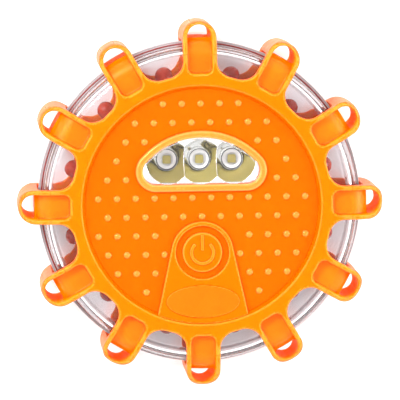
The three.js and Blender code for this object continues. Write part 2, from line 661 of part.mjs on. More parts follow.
// A screw that points up, its head's outer face on the origin.
function screwSolid({ headRadius, headHeight, length }) {
  const bevel = 0.3;
  const tip = 0.6;
  const screw = turned([[0, 0], [headRadius - bevel, 0], [headRadius, bevel], [headRadius, headHeight],
    [SHANK_RADIUS, headHeight], [SHANK_RADIUS, length - tip], [0, length]], 10);
  const slot = block([0, 0, 0], [headRadius * 1.2, 0.5, 1.2]);
  return cut(screw, [slot, slot.rotate([0, 0, 90])]);
}

function makeScrews(name, screw, places) {
  const solid = screwSolid(screw);
  places.forEach(([x, y], i) => {
    piece(`${name}_${i + 1}`, solid, MATERIALS.steel).position.set(x, y, screw.seat);
  });
}

makeBumper();
makeFrontPanel();
makePowerButton();
makeTorch();
makeFrontHousing();
makeRearHousing();
makeHousingSeal();
makeBoard();
makeSideLeds();
makeTray();
makeCells();
makeLead('battery_lead_red', 1, MATERIALS.redWire);
makeLead('battery_lead_black', -1, MATERIALS.blackWire);
makeDoor();
makeHook();
makeScrews('door_screw', DOOR_SCREW, doorScrewPlaces);
makeScrews('housing_screw', HOUSING_SCREW, housingScrewPlaces);

export default flare;
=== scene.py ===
"""LED safety flare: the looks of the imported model, for Blender 4.5.

Most moulded pieces are drawn as signed distances in millimetres (negative inside), and net() turns
such a field into a mesh of even quads whose vertices and normals lie exactly on the surface.
Round pieces are turned profiles. All lengths are millimetres until a mesh is made.
"""

import math

import bpy
import numpy as np
from mathutils import Matrix, Vector


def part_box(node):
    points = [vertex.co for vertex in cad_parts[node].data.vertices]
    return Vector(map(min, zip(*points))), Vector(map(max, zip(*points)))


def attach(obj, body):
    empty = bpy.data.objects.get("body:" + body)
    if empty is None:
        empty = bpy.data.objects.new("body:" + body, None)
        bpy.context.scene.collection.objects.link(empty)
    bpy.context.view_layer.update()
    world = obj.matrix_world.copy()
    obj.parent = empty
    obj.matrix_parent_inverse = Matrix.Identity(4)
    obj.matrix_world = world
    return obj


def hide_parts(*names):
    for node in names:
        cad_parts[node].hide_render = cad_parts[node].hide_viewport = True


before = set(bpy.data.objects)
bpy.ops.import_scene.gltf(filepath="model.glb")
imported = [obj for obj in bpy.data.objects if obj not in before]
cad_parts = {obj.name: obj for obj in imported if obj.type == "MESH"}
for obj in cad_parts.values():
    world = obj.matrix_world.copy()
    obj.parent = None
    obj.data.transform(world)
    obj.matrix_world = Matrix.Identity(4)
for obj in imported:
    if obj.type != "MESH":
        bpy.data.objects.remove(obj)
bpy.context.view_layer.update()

MM = 0.001
LOW, HIGH = 0, 1


def edge(node, end, axis):
    """Where a CAD node ends along an axis, in millimetres."""
    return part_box(node)[end]["xyz".index(axis)] / MM


# ---------------- driving dimensions

OVERALL_RADIUS = edge("rubber_bumper", HIGH, "x")
THICKNESS = edge("rubber_bumper", HIGH, "z")
MIDDLE = THICKNESS / 2
GAP = 0.3                           # left between two pieces that touch

BODY_RADIUS = edge("rear_housing", HIGH, "x")
FRONT_RADIUS = edge("front_housing", HIGH, "x")
BODY_TOP = edge("front_housing", HIGH, "z")
BODY_HALF = BODY_TOP - MIDDLE
BODY_BOTTOM = MIDDLE - BODY_HALF
SHOULDER = 4
WALL = 1.8

LUG_COUNT = 12
LUG_WIDTH = 9.65
LUG_WALL = 1.3
LUG_ROUNDING = 10.3
WEB_RADIUS = 37.3
WEB_FILLET = 3.8
LOOP_CORNER = 2
SKIN = 0.8
LOOP_START = WEB_RADIUS + 0.1
FACE_RIM = 34.25                    # the ring's inner edge at the front
SOFT_EDGE = 0.6                     # rounding of the rubber's edges
PARTING_RADIUS = 43.2               # a faint mould line that runs across the loops' rims
CHANNEL = (30, 40)                  # where the hook swings out through the ring, along Y

PANEL_RADIUS = edge("front_panel", HIGH, "x")
PANEL_BOTTOM = edge("front_panel", LOW, "z")
PANEL_TOP = PANEL_BOTTOM + 1.7
RAISED_TOP = PANEL_TOP + 1.2        # top of the pad and of the torch bezel
FACE_RADIUS = PANEL_RADIUS + GAP
HAIR = 0.02                         # left round the button, which looks closed up
TUCK = 0.1                          # how far the panel's edge runs into the ring

DOT_PITCH = 5.37
DOT_FIRST_ROW = 2.1
DOT_RADIUS = 0.85
DOT_HEIGHT = 0.55
DOT_LIMIT = 31.3
DOT_CLEARANCE = 1.2

TORCH_END = (12.85, 9.75)
TORCH_END_RADIUS = 5.85
TORCH_TOP = 21.25
BEZEL_WIDTH = 2
TORCH_Y = 12.3
TORCH_PITCH = 9.35
BOWL_RIM = 6.3
BOWL_THROAT = 3.1
BOWL_FOCUS = 18.1                   # the bowls focus just below the lit chip

BUTTON_Y = -13.5
BUTTON_RADIUS = 5.7
BUTTON_TOP = 32.3
CROWN = (0.12, -0.13)               # the cap's top at its middle and at its edge, from BUTTON_TOP
FLANGE_RADIUS = BUTTON_RADIUS + 1.2
FLANGE_BOTTOM = edge("power_button", LOW, "z")
FLANGE_THICKNESS = 0.5
SYMBOL_RING = 3.12
SYMBOL_STROKE = 0.87
SYMBOL_GAP = math.radians(41)       # from straight up to where the ring starts
SYMBOL_BAR = (0.6, 5.1)
SYMBOL_HEIGHT = 0.3
GROOVE_RADIUS = 7.6
GROOVE_BOTTOM = 31.3
PAD_RADIUS = 8.8
PAD_CORNER = (12.9, -31.2)
BADGE_Y = -27.5
BADGE_HALF = (10.4, 4.6)
BADGE_HEIGHT = 0.25

SIDE_LED_Z = 14.2
SIDE_LED_START = 31.3
LED_RADIUS = 2.5
LED_LENGTH = 8.6
WINDOW_ANGLES = [2 * math.pi * (i + 0.5) / LUG_COUNT for i in range(LUG_COUNT)]

DOOR_BOTTOM = edge("battery_door", LOW, "z")
DOOR_TOP = edge("battery_door", HIGH, "z")
MAGNET_Y = -16
MAGNET_RADIUS = edge("magnet", HIGH, "x")
MAGNET_TOP = edge("magnet", HIGH, "z")
HOOK_PIVOT = (29.5, 1.35)           # Y and Z of the hinge line
HOOK_THICKNESS = 1.3
HOOK_ARM = 5.5
HOOK_REACH = 26.5                   # from the pivot to the middle of the hook's eye
HOOK_EYE = (3.75, 6.3)
HOOK_MOUTH = (-1.2, 4.4)            # its middle, along Y from the eye's, and its width
HOOK_BARREL = 1.1
HOOK_GROOVE = (0.9, 7)              # half the width and length of the groove along the arm
HOOK_GROOVE_Y = -11                 # its middle, along Y from the pivot
HOOK_GROOVE_DEPTH = 0.35
FINGER_DIP = (6.5, -5.2)            # beside the hook's eye, to lift the hook by
FINGER_DIP_HALF = (5, 3.2)
FINGER_DIP_TOP = 1.9
BARREL_POCKET_TOP = 2.65
WAY_OUT_TOP = 2.55
PIN_RADIUS = 0.5
PIN_END = edge("hook_pin", HIGH, "x")
DOOR_RING = 31.9                    # middle of the fine groove round the door
DOOR_SEAT_TOP = 2.2                 # how deep the door screws' heads sink in
DOOR_LIP_RADIUS = 3.5               # of the raised ring round each door screw
DOOR_SEAL_OUT = 1.1                 # from the battery bay's edge to the middle of the door's seal
DOOR_SEAL_CORNER = 2.5

HOUSING_SCREW = {"head": 2.1, "height": 1.4, "length": 17, "seat": 4.6}
DOOR_SCREW = {"head": 2.3, "height": 1.1, "length": 9, "seat": 0.9}
HOUSING_SCREWS = [(39.5 * math.cos(a), 39.5 * math.sin(a)) for a in np.radians((60, 120, 240, 300))]
DOOR_SCREWS = [(26, 9), (-26, 9), (-26, -9), (26, -9)]
SCREW_BORE = 1.15
THREAD_PITCH = 0.8
HOUSING_POST = 3
DOOR_POST = 2.6
DOOR_POST_TOP = 12
HEAD_RECESS = 6.3                   # top of the hole that a housing screw's head goes into
PLUNGER_BORE = 2
TRAY_HALF = (16.85, 25.3)
CELL_RADIUS = 5.25
CELL_LENGTH = 44.5
CELL_PITCH = 11.2
CELL_Z = 9.6
CELL_BAND = 31.3                    # height along the cell of the line between its two colours
WIRE_RADIUS = 0.6
LEAD_X = edge("battery_lead_red", HIGH, "x") - WIRE_RADIUS
LEAD_Y = 27.4
BOARD_RADIUS = edge("main_board", HIGH, "x")
BOARD_TOP = edge("main_board", HIGH, "z")
BOARD_BOTTOM = edge("main_board", LOW, "z")


# ---------------- signed distances

def round_join(a, b, radius):
    """Union of two solids, with a hollow fillet where they meet."""
    return np.maximum(radius, np.minimum(a, b)) - np.hypot(
        np.maximum(radius - a, 0), np.maximum(radius - b, 0))


def round_cut(a, b, radius):
    """Where two solids overlap, with the shared edge rounded."""
    return -round_join(-a, -b, radius)


def slab(z, bottom, top):
    """An endless sheet from bottom to top."""
    return np.maximum(bottom - z, z - top)


def rounded_box(x, y, half_x, half_y, radius):
    qx = np.abs(x) - half_x + radius
    qy = np.abs(y) - half_y + radius
    return np.minimum(np.maximum(qx, qy), 0) + np.hypot(np.maximum(qx, 0), np.maximum(qy, 0)) - radius


def disc_with_round_edge(x, y, z, radius, half_height, rounding):
    return rounded_box(np.hypot(x, y), z - MIDDLE, radius, half_height, rounding)


def body_distance(x, y, z):
    """The clear housing's outer shape."""
    return disc_with_round_edge(x, y, z, BODY_RADIUS, BODY_HALF, SHOULDER)


def torch_arch():
    """Radius and middle of the torch window's arched top, which touches both round ends."""
    end_x, end_y = TORCH_END
    rise = TORCH_TOP - end_y
    radius = (end_x ** 2 + rise ** 2 - TORCH_END_RADIUS ** 2) / (2 * (rise - TORCH_END_RADIUS))
    return radius, TORCH_TOP - radius


def torch_distance(x, y):
    """The torch window: a flat bottom, round ends and an arched top."""
    end_x, end_y = TORCH_END
    arch_radius, arch_y = torch_arch()
    x = np.abs(x)
    over = (y - arch_y) * end_x > x * (end_y - arch_y)
    bottom = end_y - TORCH_END_RADIUS - y
    arch = np.maximum(np.hypot(x, y - arch_y) - arch_radius, bottom)
    end = np.hypot(x - end_x, y - end_y) - TORCH_END_RADIUS
    return np.where(over, arch, np.where(x > end_x, end, bottom))


def pad_distance(x, y):
    """The pad: an arc over the button, then two straight sides that flare to the panel's edge."""
    corner_x, corner_y = PAD_CORNER
    drop = corner_y - BUTTON_Y
    touch = math.atan2(drop, corner_x) + math.acos(PAD_RADIUS / math.hypot(corner_x, drop))
    x = np.abs(x)
    y = y - BUTTON_Y
    along = x * math.sin(touch) - y * math.cos(touch)
    side = x * math.cos(touch) + y * math.sin(touch)
    return np.where(along > 0, side, np.hypot(x, y)) - PAD_RADIUS


def ellipse_distance(x, y, half_x, half_y):
    near = np.hypot(x / half_x, y / half_y)
    slope = np.hypot(x / half_x ** 2, y / half_y ** 2)
    return near * (near - 1) / np.maximum(slope, 1e-6)


def round_hole(x, y, place, radius):
    return np.hypot(x - place[0], y - place[1]) - radius


def rectangle(half_x, half_y):
    """Corners of an upright rectangle round the origin, anticlockwise."""
    return [(-half_x, -half_y), (half_x, -half_y), (half_x, half_y), (-half_x, half_y)]


# ---------------- meshes

SHARP = math.radians(28)            # a turned or cut edge that bends more than this stays crisp
COARSE = 1


def crossing_cells(field):
    """The cells of a lattice that the surface passes through, and the surface's place in each."""
    corners = [(i, j, k) for i in (0, 1) for j in (0, 1) for k in (0, 1)]
    shape = [n - 1 for n in field.shape]
    inside = field < 0
    count = np.zeros(shape, dtype=np.int8)
    for i, j, k in corners:
        count += inside[i:i + shape[0], j:j + shape[1], k:k + shape[2]]
    cells = np.argwhere((count > 0) & (count < 8))
    values = {c: field[tuple((cells + c).T)] for c in corners}
    total = np.zeros(cells.shape)
    hits = np.zeros(len(cells))
    for start in corners:
        for axis in range(3):
            if start[axis]:
                continue
            end = tuple(1 if n == axis else start[n] for n in range(3))
            a, b = values[start], values[end]
            crossed = (a < 0) != (b < 0)
            share = np.where(crossed, a / np.where(crossed, a - b, 1), 0)
            point = np.repeat(np.array([start], dtype=float), len(cells), axis=0)
            point[:, axis] = share
            total[crossed] += point[crossed]
            hits += crossed
    return cells, cells + total / hits[:, None]


def numbered(cells, shape):
    """A lattice that holds each listed cell's place in the list, and -1 elsewhere."""
    number = np.full([n - 1 for n in shape], -1, dtype=np.int64)
    number[tuple(cells.T)] = np.arange(len(cells))
    return number


def crossing_quads(field, number, wrapped=False):
    """A quad round each lattice line that the surface crosses, facing out of the solid.

    A wrapped field repeats its last layer in front, so lines in that layer are left out.
    """
    inside = field < 0
    quads = []
    for axis in range(3):
        order = (axis, (axis + 1) % 3, (axis + 2) % 3)
        here = np.transpose(inside, order)
        index = np.transpose(number, order)
        first = here[:-1, 1:-1, 1:-1]
        at = np.argwhere(first != here[1:, 1:-1, 1:-1])
        if wrapped and axis == 0:
            at = at[at[:, 0] > 0]
        i, j, k = at.T
        ring = [index[i, j, k], index[i, j + 1, k], index[i, j + 1, k + 1], index[i, j, k + 1]]
        ring = np.stack(ring, 1)
        quads.append(np.where(first[i, j, k][:, None], ring, ring[:, ::-1]))
    return np.concatenate(quads)


def slopes(distance, points, step=0.01):
    """Unit normals of a distance field."""
    normal = np.zeros(points.shape)
    for axis, shift in enumerate(step * np.eye(3)):
        normal[:, axis] = distance(*(points + shift).T) - distance(*(points - shift).T)
    size = np.linalg.norm(normal, axis=1, keepdims=True)
    return normal / np.maximum(size, 1e-9)


def onto_surface(distance, points, reach, rounds):
    """Points slid along the slope of a distance field to where it is 0."""
    for _ in range(rounds):
        step = np.clip(distance(*points.T), -reach, reach)
        points = points - slopes(distance, points) * step[:, None]
    return points


def relaxed(points, quads, share):
    """Each vertex moved towards the middle of its neighbours."""
    total = np.zeros(points.shape)
    count = np.zeros(len(points))
    for a, b in ((0, 1), (1, 2), (2, 3), (3, 0)):
        for start, end in ((a, b), (b, a)):
            count += np.bincount(quads[:, start], minlength=len(points))
            for axis in range(3):
                total[:, axis] += np.bincount(
                    quads[:, start], weights=points[quads[:, end], axis], minlength=len(points))
    return points + share * (total / count[:, None] - points)


def even_steps(low, high, cell):
    """From low to high in equal steps of at most cell."""
    return np.linspace(low, high, int(math.ceil((high - low) / cell)) + 1)


def net(name, distance, low, high, cell):
    """A mesh of the solid that a distance function describes, in a box from low to high."""
    cell = cell * COARSE
    axes = [even_steps(a - 1.5 * cell, b + 1.5 * cell, cell) for a, b in zip(low, high)]
    field = distance(*np.meshgrid(*axes, indexing="ij", sparse=True))
    cells, places = crossing_cells(field)
    quads = crossing_quads(field, numbered(cells, field.shape))
    points = np.stack([np.interp(n, np.arange(len(axis)), axis) for n, axis in zip(places.T, axes)], 1)
    return settled(name, distance, points, quads, cell)


def boxed(name, distance, node, cell):
    """A net of a solid that fills a CAD node's own box."""
    low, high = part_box(node)
    return net(name, distance, low / MM, high / MM, cell)


def round_net(name, distance, radii, heights, steps):
    """A net of a ring round the Z axis, on a lattice of angles, radii and heights."""
    steps = int(steps / COARSE)
    turn = 2 * math.pi / steps
    angle = np.arange(steps) * turn
    field = distance(*polar(*np.meshgrid(angle, radii, heights, indexing="ij", sparse=True)))
    closed = np.concatenate([field, field[:1]])
    cells, places = crossing_cells(closed)
    number = numbered(cells, closed.shape)
    number = np.concatenate([number[-1:], number])
    quads = crossing_quads(np.concatenate([field[-1:], closed]), number, wrapped=True)
    radius, height = (np.interp(n, np.arange(len(axis)), axis)
                      for n, axis in zip(places.T[1:], (radii, heights)))
    points = np.stack(polar(places[:, 0] * turn, radius, height), 1)
    return settled(name, distance, points, quads[:, ::-1], radii[1] - radii[0])


def polar(angle, radius, height):
    return radius * np.cos(angle), radius * np.sin(angle), height


def settled(name, distance, points, quads, cell):
    """A mesh of the quads, evened out, with every vertex and normal exactly on the surface."""
    points = onto_surface(distance, points, cell / 2, 3)
    points = relaxed(points, quads, 0.5)
    points = onto_surface(distance, points, cell / 2, 4)
    piece = to_object(name, points, quads, slopes(distance, points))
    bend = piece.data.attributes.new("bend", "FLOAT", "POINT")
    bend.data.foreach_set("value", bending(distance, points).astype(np.float32))
    return piece


def bending(distance, points, step=0.12):
    """How sharply the surface bends at each point: above 0 on an edge, below 0 in a hollow."""
    total = np.zeros(len(points))
    for shift in step * np.eye(3):
        total += distance(*(points + shift).T) + distance(*(points - shift).T)
    middle = distance(*points.T)
    return np.clip((total - 6 * middle) / step ** 2 * SOFT_EDGE, -1, 1)


def to_object(name, points, faces, normals=None):
    mesh = bpy.data.meshes.new(name)
    mesh.from_pydata((np.asarray(points) * MM).tolist(), [], [list(map(int, f)) for f in faces])
    mesh.polygons.foreach_set("use_smooth", [True] * len(mesh.polygons))
    mesh.update()
    if normals is None:
        mesh.set_sharp_from_angle(angle=SHARP)
    else:
        mesh.normals_split_custom_set_from_vertices(normals.tolist())
    piece = bpy.data.objects.new(name, mesh)
    bpy.context.collection.objects.link(piece)
    return piece


def arc(centre, radius, start, end, steps):
    """Points along an arc, both ends included. Angles are in degrees."""
    angles = np.radians(np.linspace(start, end, steps + 1))
    return [(centre[0] + radius * math.cos(a), centre[1] + radius * math.sin(a)) for a in angles]


def revolved(name, profile, sides):
    """A closed outline of (radius, height) points turned about Z. A radius of 0 becomes one vertex."""
    points, rows = [], []
    for radius, height in profile:
        count = sides if radius > 1e-6 else 1
        rows.append([len(points) + i % count for i in range(sides)])
        turns = [2 * math.pi * i / sides for i in range(count)]
        points += [(radius * math.cos(a), radius * math.sin(a), height) for a in turns]
    faces = []
    for low, high in zip(rows, rows[1:] + rows[:1]):
        for i in range(sides):
            j = (i + 1) % sides
            corners = list(dict.fromkeys([low[i], low[j], high[j], high[i]]))
            if len(corners) > 2:
                faces.append(corners)
    return to_object(name, points, faces)


# ---------------- materials

class Finish:
    """A Principled material and the nodes that feed it. Lengths are in millimetres."""

    def __init__(self, name, colour, roughness, **sockets):
        self.material = bpy.data.materials.new(name)
        self.material.use_nodes = True
        self.nodes = self.material.node_tree.nodes
        self.shader = self.nodes["Principled BSDF"]
        sockets.update(Base_Color=(*colour, 1), Roughness=roughness)
        for socket, value in sockets.items():
            self.shader.inputs[socket.replace("_", " ")].default_value = value
        where = self.node("TexCoord").outputs["Object"]
        self.place = self.node("VectorMath", "SCALE", Vector=where, Scale=1 / MM).outputs[0]
        self.colour = self.shader.inputs["Base Color"].default_value[:]
        self.height = None

    def link(self, source, target):
        self.material.node_tree.links.new(source, target)

    def feed(self, value, socket):
        if isinstance(value, bpy.types.NodeSocket):
            self.link(value, socket)
        else:
            socket.default_value = value

    def node(self, kind, operation=None, **values):
        """A new node, with a constant or another node's output for each socket named."""
        node = self.nodes.new("ShaderNode" + kind)
        if operation:
            node.operation = operation
        for socket, value in values.items():
            self.feed(value, node.inputs[socket.replace("_", " ")])
        return node

    def noise(self, size, detail=2.0, stretch=(1, 1, 1)):
        """Smooth noise from 0 to 1 whose lumps are about size millimetres across."""
        where = self.stretched(stretch)
        return self.node("TexNoise", Vector=where, Scale=1 / size, Detail=detail).outputs["Fac"]

    def attribute(self, name):
        node = self.node("Attribute")
        node.attribute_name = name
        return node.outputs["Fac"]

    def part(self, axis):
        return self.node("SeparateXYZ", Vector=self.place).outputs[axis]

    def stretched(self, stretch):
        node = self.node("VectorMath", "MULTIPLY", Vector=self.place)
        node.inputs[1].default_value = stretch
        return node.outputs[0]

    def from_axis(self):
        """Distance from the Z axis."""
        return self.node("VectorMath", "LENGTH", Vector=self.stretched((1, 1, 0))).outputs["Value"]

    def calculate(self, a, operation, b=0.0):
        node = self.node("Math", operation)
        self.feed(a, node.inputs[0])
        self.feed(b, node.inputs[1])
        return node.outputs[0]

    def between(self, value, start, end, low=0.0, high=1.0):
        """value from start to end, carried over to low to high and held there."""
        return self.node("MapRange", Value=value, From_Min=start, From_Max=end,
                         To_Min=low, To_Max=high).outputs["Result"]

    def tint(self, colour, share):
        """Paints a colour over what is there, as strongly as share says."""
        node = self.node("Mix")
        node.data_type = "RGBA"
        for socket, value in (("Factor", share), ("A", self.colour), ("B", (*colour, 1))):
            self.feed(value, node.inputs[socket])
        self.colour = node.outputs["Result"]
        self.link(self.colour, self.shader.inputs["Base Color"])

    def rough(self, value):
        self.link(value, self.shader.inputs["Roughness"])

    def bump(self, height, depth):
        """Relief of about depth millimetres."""
        node = self.node("Bump", Height=height, Distance=depth * MM)
        if self.height is not None:
            self.link(self.height, node.inputs["Normal"])
        self.height = node.outputs["Normal"]
        self.link(self.height, self.shader.inputs["Normal"])


# ---------------- finishes

ORANGE = (1.0, 0.185, 0.0)
DEEP_ORANGE = (1.0, 0.12, 0.0)
# PALE_ORANGE is the painted highlight colour along most of the rubber's edges.
PALE_ORANGE = (1.0, 0.31, 0.04)
# RED_ORANGE is the painted shade in the rubber's hollows.
RED_ORANGE = (1.0, 0.04, 0.0)
SHADE = (0.86, 0.87, 0.88)          # how much lamp light clear plastic lets through


def rubber(name, base, edge_highlight, gloss=0.12, glow=0.5, grain=0.012, satin=0.28, **sockets):
    """Satin moulded rubber: fine grain, cloudy colour, a painted highlight along its sharp edges, which
    are also a little smoother there as if worn, and painted shade, redder, in its hollows.

    gloss is how strongly it mirrors and glow how much light soaks through it, both from 0 to 1.
    grain is the depth of its relief, and satin its least roughness. The second colour is the one
    painted along the edges as a highlight.
    """
    made = Finish(name, base, 0.4, Specular_IOR_Level=gloss, Specular_Tint=(1.0, 0.65, 0.25, 1),
                  Subsurface_Weight=glow, Subsurface_Scale=0.006 * glow ** 1.3,
                  Subsurface_Radius=(1.0, 0.2, 0.04), **sockets)
    bend = made.attribute("bend")
    made.tint(tuple(0.9 * c for c in base), made.between(made.noise(9, 3), 0.35, 0.7, 0, 0.6))
    made.tint(tuple(0.85 * c for c in base), made.between(made.noise(0.5, 3), 0.45, 0.7, 0, 0.5))
    # Painted shade: hollows and inner corners are tinted redder, where shade falls.
    made.tint(RED_ORANGE, made.between(bend, -0.15, -1, 0, 0.45))
    # Painted highlight: sharp edges, in uneven patches, are tinted towards the paler edge colour; the
    # same mask lowers their roughness a little, as on worn edges.
    patches = made.between(made.noise(3, 4), 0.25, 0.6, 0.85, 1)
    wear_and_highlight = made.calculate(made.between(bend, 0.45, 1), "MULTIPLY", patches)
    made.tint(edge_highlight, made.calculate(wear_and_highlight, "MULTIPLY", 0.7))
    uneven = made.between(made.noise(1.5, 4), 0.3, 0.7, satin, satin + 0.12)
    made.rough(made.calculate(uneven, "SUBTRACT", made.calculate(wear_and_highlight, "MULTIPLY", 0.15)))
    made.bump(made.noise(0.35, 3), grain)
    made.bump(made.noise(0.1, 2), grain / 3)
    return made


def draw_parting_line(made):
    """The fine darker line that the two halves of a mould leave, round the Z axis."""
    off = made.calculate(made.from_axis(), "SUBTRACT", PARTING_RADIUS)
    off = made.calculate(off, "ABSOLUTE")
    made.tint(DEEP_ORANGE, made.between(off, 0.06, 0.16, 0.7, 0))


bumper_rubber = rubber("bumper_rubber", ORANGE, PALE_ORANGE, gloss=0.16, glow=0.8)
draw_parting_line(bumper_rubber)
# Painted light: the walls inside the loops are a lighter copy of the bumper's rubber and glow faintly
# orange, standing in for light bouncing round the deep loops.
loop_rubber = rubber("loop_rubber", (1.0, 0.23, 0.0), PALE_ORANGE, gloss=0.001, glow=0.5,
                     Emission_Color=(1.0, 0.14, 0.0, 1), Emission_Strength=0.3)
# Painted shade: the bumper's outer side walls are a darker copy of its rubber, with a less pale edge
# tint.
side_rubber = rubber("side_rubber", (1.0, 0.13, 0.0), ORANGE, gloss=0.06, glow=0.8)
# Painted light: the skins inside the loops are a slightly lighter copy of the bumper's rubber.
skin_rubber = rubber("skin_rubber", (1.0, 0.2, 0.0), PALE_ORANGE, gloss=0.6, glow=0.8)
panel_rubber = rubber("panel_rubber", DEEP_ORANGE, ORANGE)
# Painted light: the pad, the bezel and dots, and the badge are lighter copies of the panel's rubber, as
# raised parts catch more light.
pad_rubber = rubber("pad_rubber", (1.0, 0.155, 0.0), PALE_ORANGE)
raised_rubber = rubber("raised_rubber", (1.0, 0.25, 0.03), (1.0, 0.38, 0.10), gloss=1.0, satin=0.18)
symbol_rubber = rubber("symbol_rubber", (1.0, 0.21, 0.01), (1.0, 0.28, 0.04))
button_rubber = rubber("button_rubber", (1.0, 0.148, 0.0), PALE_ORANGE)
badge_rubber = rubber("badge_rubber", (1.0, 0.158, 0.004), PALE_ORANGE)


def clear_plastic(name, colour, haze=0.0):
    """Polished clear plastic. Lamps shine through it as through a window. haze makes it milky."""
    made = Finish(name, colour, 0.03, IOR=1.38, Transmission_Weight=1 - haze)
    scuffs = made.noise(0.6, 6, (1, 1, 0.15))
    made.rough(made.between(scuffs, 0.5, 0.75, 0.02 + haze, 0.07 + haze))
    made.bump(made.noise(5, 2), 0.01)
    mix = made.node("MixShader")
    made.link(made.node("LightPath").outputs["Is Shadow Ray"], mix.inputs[0])
    made.link(made.shader.outputs[0], mix.inputs[1])
    made.link(made.node("BsdfTransparent", Color=(*SHADE, 1)).outputs[0], mix.inputs[2])
    made.link(mix.outputs[0], made.nodes["Material Output"].inputs["Surface"])
    return made


clear = clear_plastic("clear_plastic", (0.77, 0.775, 0.79))
weld = clear_plastic("weld", (0.80, 0.80, 0.82), haze=0.4)
lens_plastic = clear_plastic("lens_plastic", (1.0, 1.0, 1.0))


def plain(name, colour, roughness, size=2.0, depth=0.01, spread=0.08, shade=0.85, **sockets):
    """A moulded or plated finish with a little cloudiness, uneven gloss and fine relief.

    size is that of the uneven patches, depth that of the relief, and spread how far the roughness
    strays. Where it is cloudy, the colour darkens to shade times itself.
    """
    made = Finish(name, colour, roughness, **sockets)
    made.tint(tuple(shade * c for c in colour), made.between(made.noise(size * 3, 3), 0.35, 0.7))
    half = spread / 2
    made.rough(made.between(made.noise(size, 4), 0.3, 0.7, roughness - half, roughness + half))
    made.bump(made.noise(size / 6, 3), depth)
    return made


chrome = plain("chrome", (0.99, 0.99, 0.99), 0.04, depth=0.0008, spread=0.04, shade=0.98, Metallic=1.0)
steel = plain("steel", (0.72, 0.72, 0.73), 0.28, depth=0.002, Metallic=1.0)
brushed_steel = plain("brushed_steel", (0.66, 0.66, 0.67), 0.32, depth=0.004, spread=0.14, Metallic=1.0)
nickel = plain("nickel", (0.78, 0.75, 0.70), 0.2, depth=0.003, spread=0.12, shade=0.9, Metallic=1.0)
tin = plain("tin", (0.8, 0.8, 0.8), 0.35, depth=0.01, Metallic=1.0)
red_epoxy = plain("red_epoxy", (0.8, 0.07, 0.02), 0.06, depth=0.0005, spread=0.03, IOR=1.45,
                  Transmission_Weight=0.5)
seal_silicone = plain("seal_silicone", (0.25, 0.012, 0.01), 0.45, Subsurface_Weight=0.1)
white_ceramic = plain("white_ceramic", (0.93, 0.93, 0.92), 0.35, shade=0.93)
phosphor = plain("phosphor", (0.72, 0.58, 0.12), 0.6)
led_epoxy = plain("led_epoxy", (0.97, 0.97, 0.95), 0.03, depth=0.0005, spread=0.03, IOR=1.5,
                  Transmission_Weight=1.0)
white_mask = plain("white_mask", (0.86, 0.87, 0.86), 0.38, shade=0.93)
black_plastic = plain("black_plastic", (0.025, 0.025, 0.027), 0.45, depth=0.02)
grey_plastic = plain("grey_plastic", (0.55, 0.55, 0.56), 0.4, depth=0.015)
tray_plastic = plain("tray_plastic", (0.82, 0.82, 0.81), 0.45, depth=0.02, shade=0.92)
door_plastic = plain("door_plastic", ORANGE, 0.48, size=1.2, depth=0.04, spread=0.12, shade=0.88,
                     Specular_IOR_Level=0.35, Specular_Tint=(1.0, 0.5, 0.08, 1))
red_wire = plain("red_wire", (0.65, 0.02, 0.015), 0.4)
black_wire = plain("black_wire", (0.02, 0.02, 0.022), 0.4)


def cell_wrap():
    """Printed film round a dry cell: a dark band and a copper one, with a thin pale line between."""
    made = Finish("cell_wrap", (0.04, 0.05, 0.07), 0.25, Coat_Weight=0.4)
    height = made.part("Z")
    above_dark = made.between(height, CELL_BAND, CELL_BAND + 0.1)
    above_line = made.between(height, CELL_BAND + 0.6, CELL_BAND + 0.7)
    made.tint((0.75, 0.42, 0.05), above_line)
    made.tint((0.8, 0.8, 0.8), made.calculate(above_dark, "SUBTRACT", above_line))
    made.rough(made.between(made.noise(2, 4), 0.3, 0.7, 0.2, 0.34))
    made.bump(made.noise(0.8, 3, (1, 1, 0.2)), 0.01)
    return made


wrap_film = cell_wrap()


# ---------------- placing pieces

def coloured(piece, *finishes):
    """The piece, with the finishes added to its materials."""
    for made in finishes:
        piece.data.materials.append(made.material)
    return piece


def finish(piece, body, finishes, node):
    """Gives a piece its materials and its body, and lets it stand for a CAD node."""
    coloured(piece, *finishes)
    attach(piece, body)
    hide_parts(node)


def placed(first, name, matrix, node):
    """A copy of the first piece that shares its mesh and stands for a CAD node."""
    copy = bpy.data.objects.new(name, first.data)
    bpy.context.collection.objects.link(copy)
    copy.matrix_world = matrix
    finish(copy, "housing", [], node)


def face_values(mesh, name):
    """Each face's own vector of the given name, as rows."""
    values = np.zeros(3 * len(mesh.polygons))
    mesh.polygons.foreach_get(name, values)
    return values.reshape(-1, 3)


def face_middles(mesh):
    """X, Y and Z of each face's middle, in millimetres."""
    return face_values(mesh, "center").T / MM


def paint(mesh, regions):
    """Gives each face the material whose number is in regions."""
    mesh.polygons.foreach_set("material_index", regions.astype(np.int32))


def join(target, others):
    """The target, with the others' meshes and materials added to it."""
    with bpy.context.temp_override(active_object=target, selected_editable_objects=[target, *others]):
        bpy.ops.object.join()
    return target


def shifted(x=0, y=0, z=0):
    """A matrix that moves by so many millimetres."""
    return Matrix.Translation((x * MM, y * MM, z * MM))


def moved(piece, matrix):
    """The piece, with its mesh moved."""
    piece.data.transform(matrix)
    return piece


def shaped(piece, step):
    """The piece with a modifier's result as its own mesh."""
    shape = bpy.data.meshes.new_from_object(piece.evaluated_get(bpy.context.evaluated_depsgraph_get()))
    piece.modifiers.remove(step)
    piece.data = shape
    return piece


# ---------------- rubber bumper

def lug_axes(x, y):
    """Distance along and across the nearest lug's own axis."""
    step = 2 * math.pi / LUG_COUNT
    angle = np.arctan2(y, x)
    angle = angle - np.round(angle / step) * step
    radius = np.hypot(x, y)
    return radius * np.cos(angle), radius * np.sin(angle)


def face_edge(z):
    """Radius of the opening that the panel lies in, which flares out above the panel."""
    share = np.clip((z - PANEL_TOP) / (THICKNESS - PANEL_TOP), 0, 1)
    return FACE_RADIUS + (FACE_RIM - FACE_RADIUS) * share


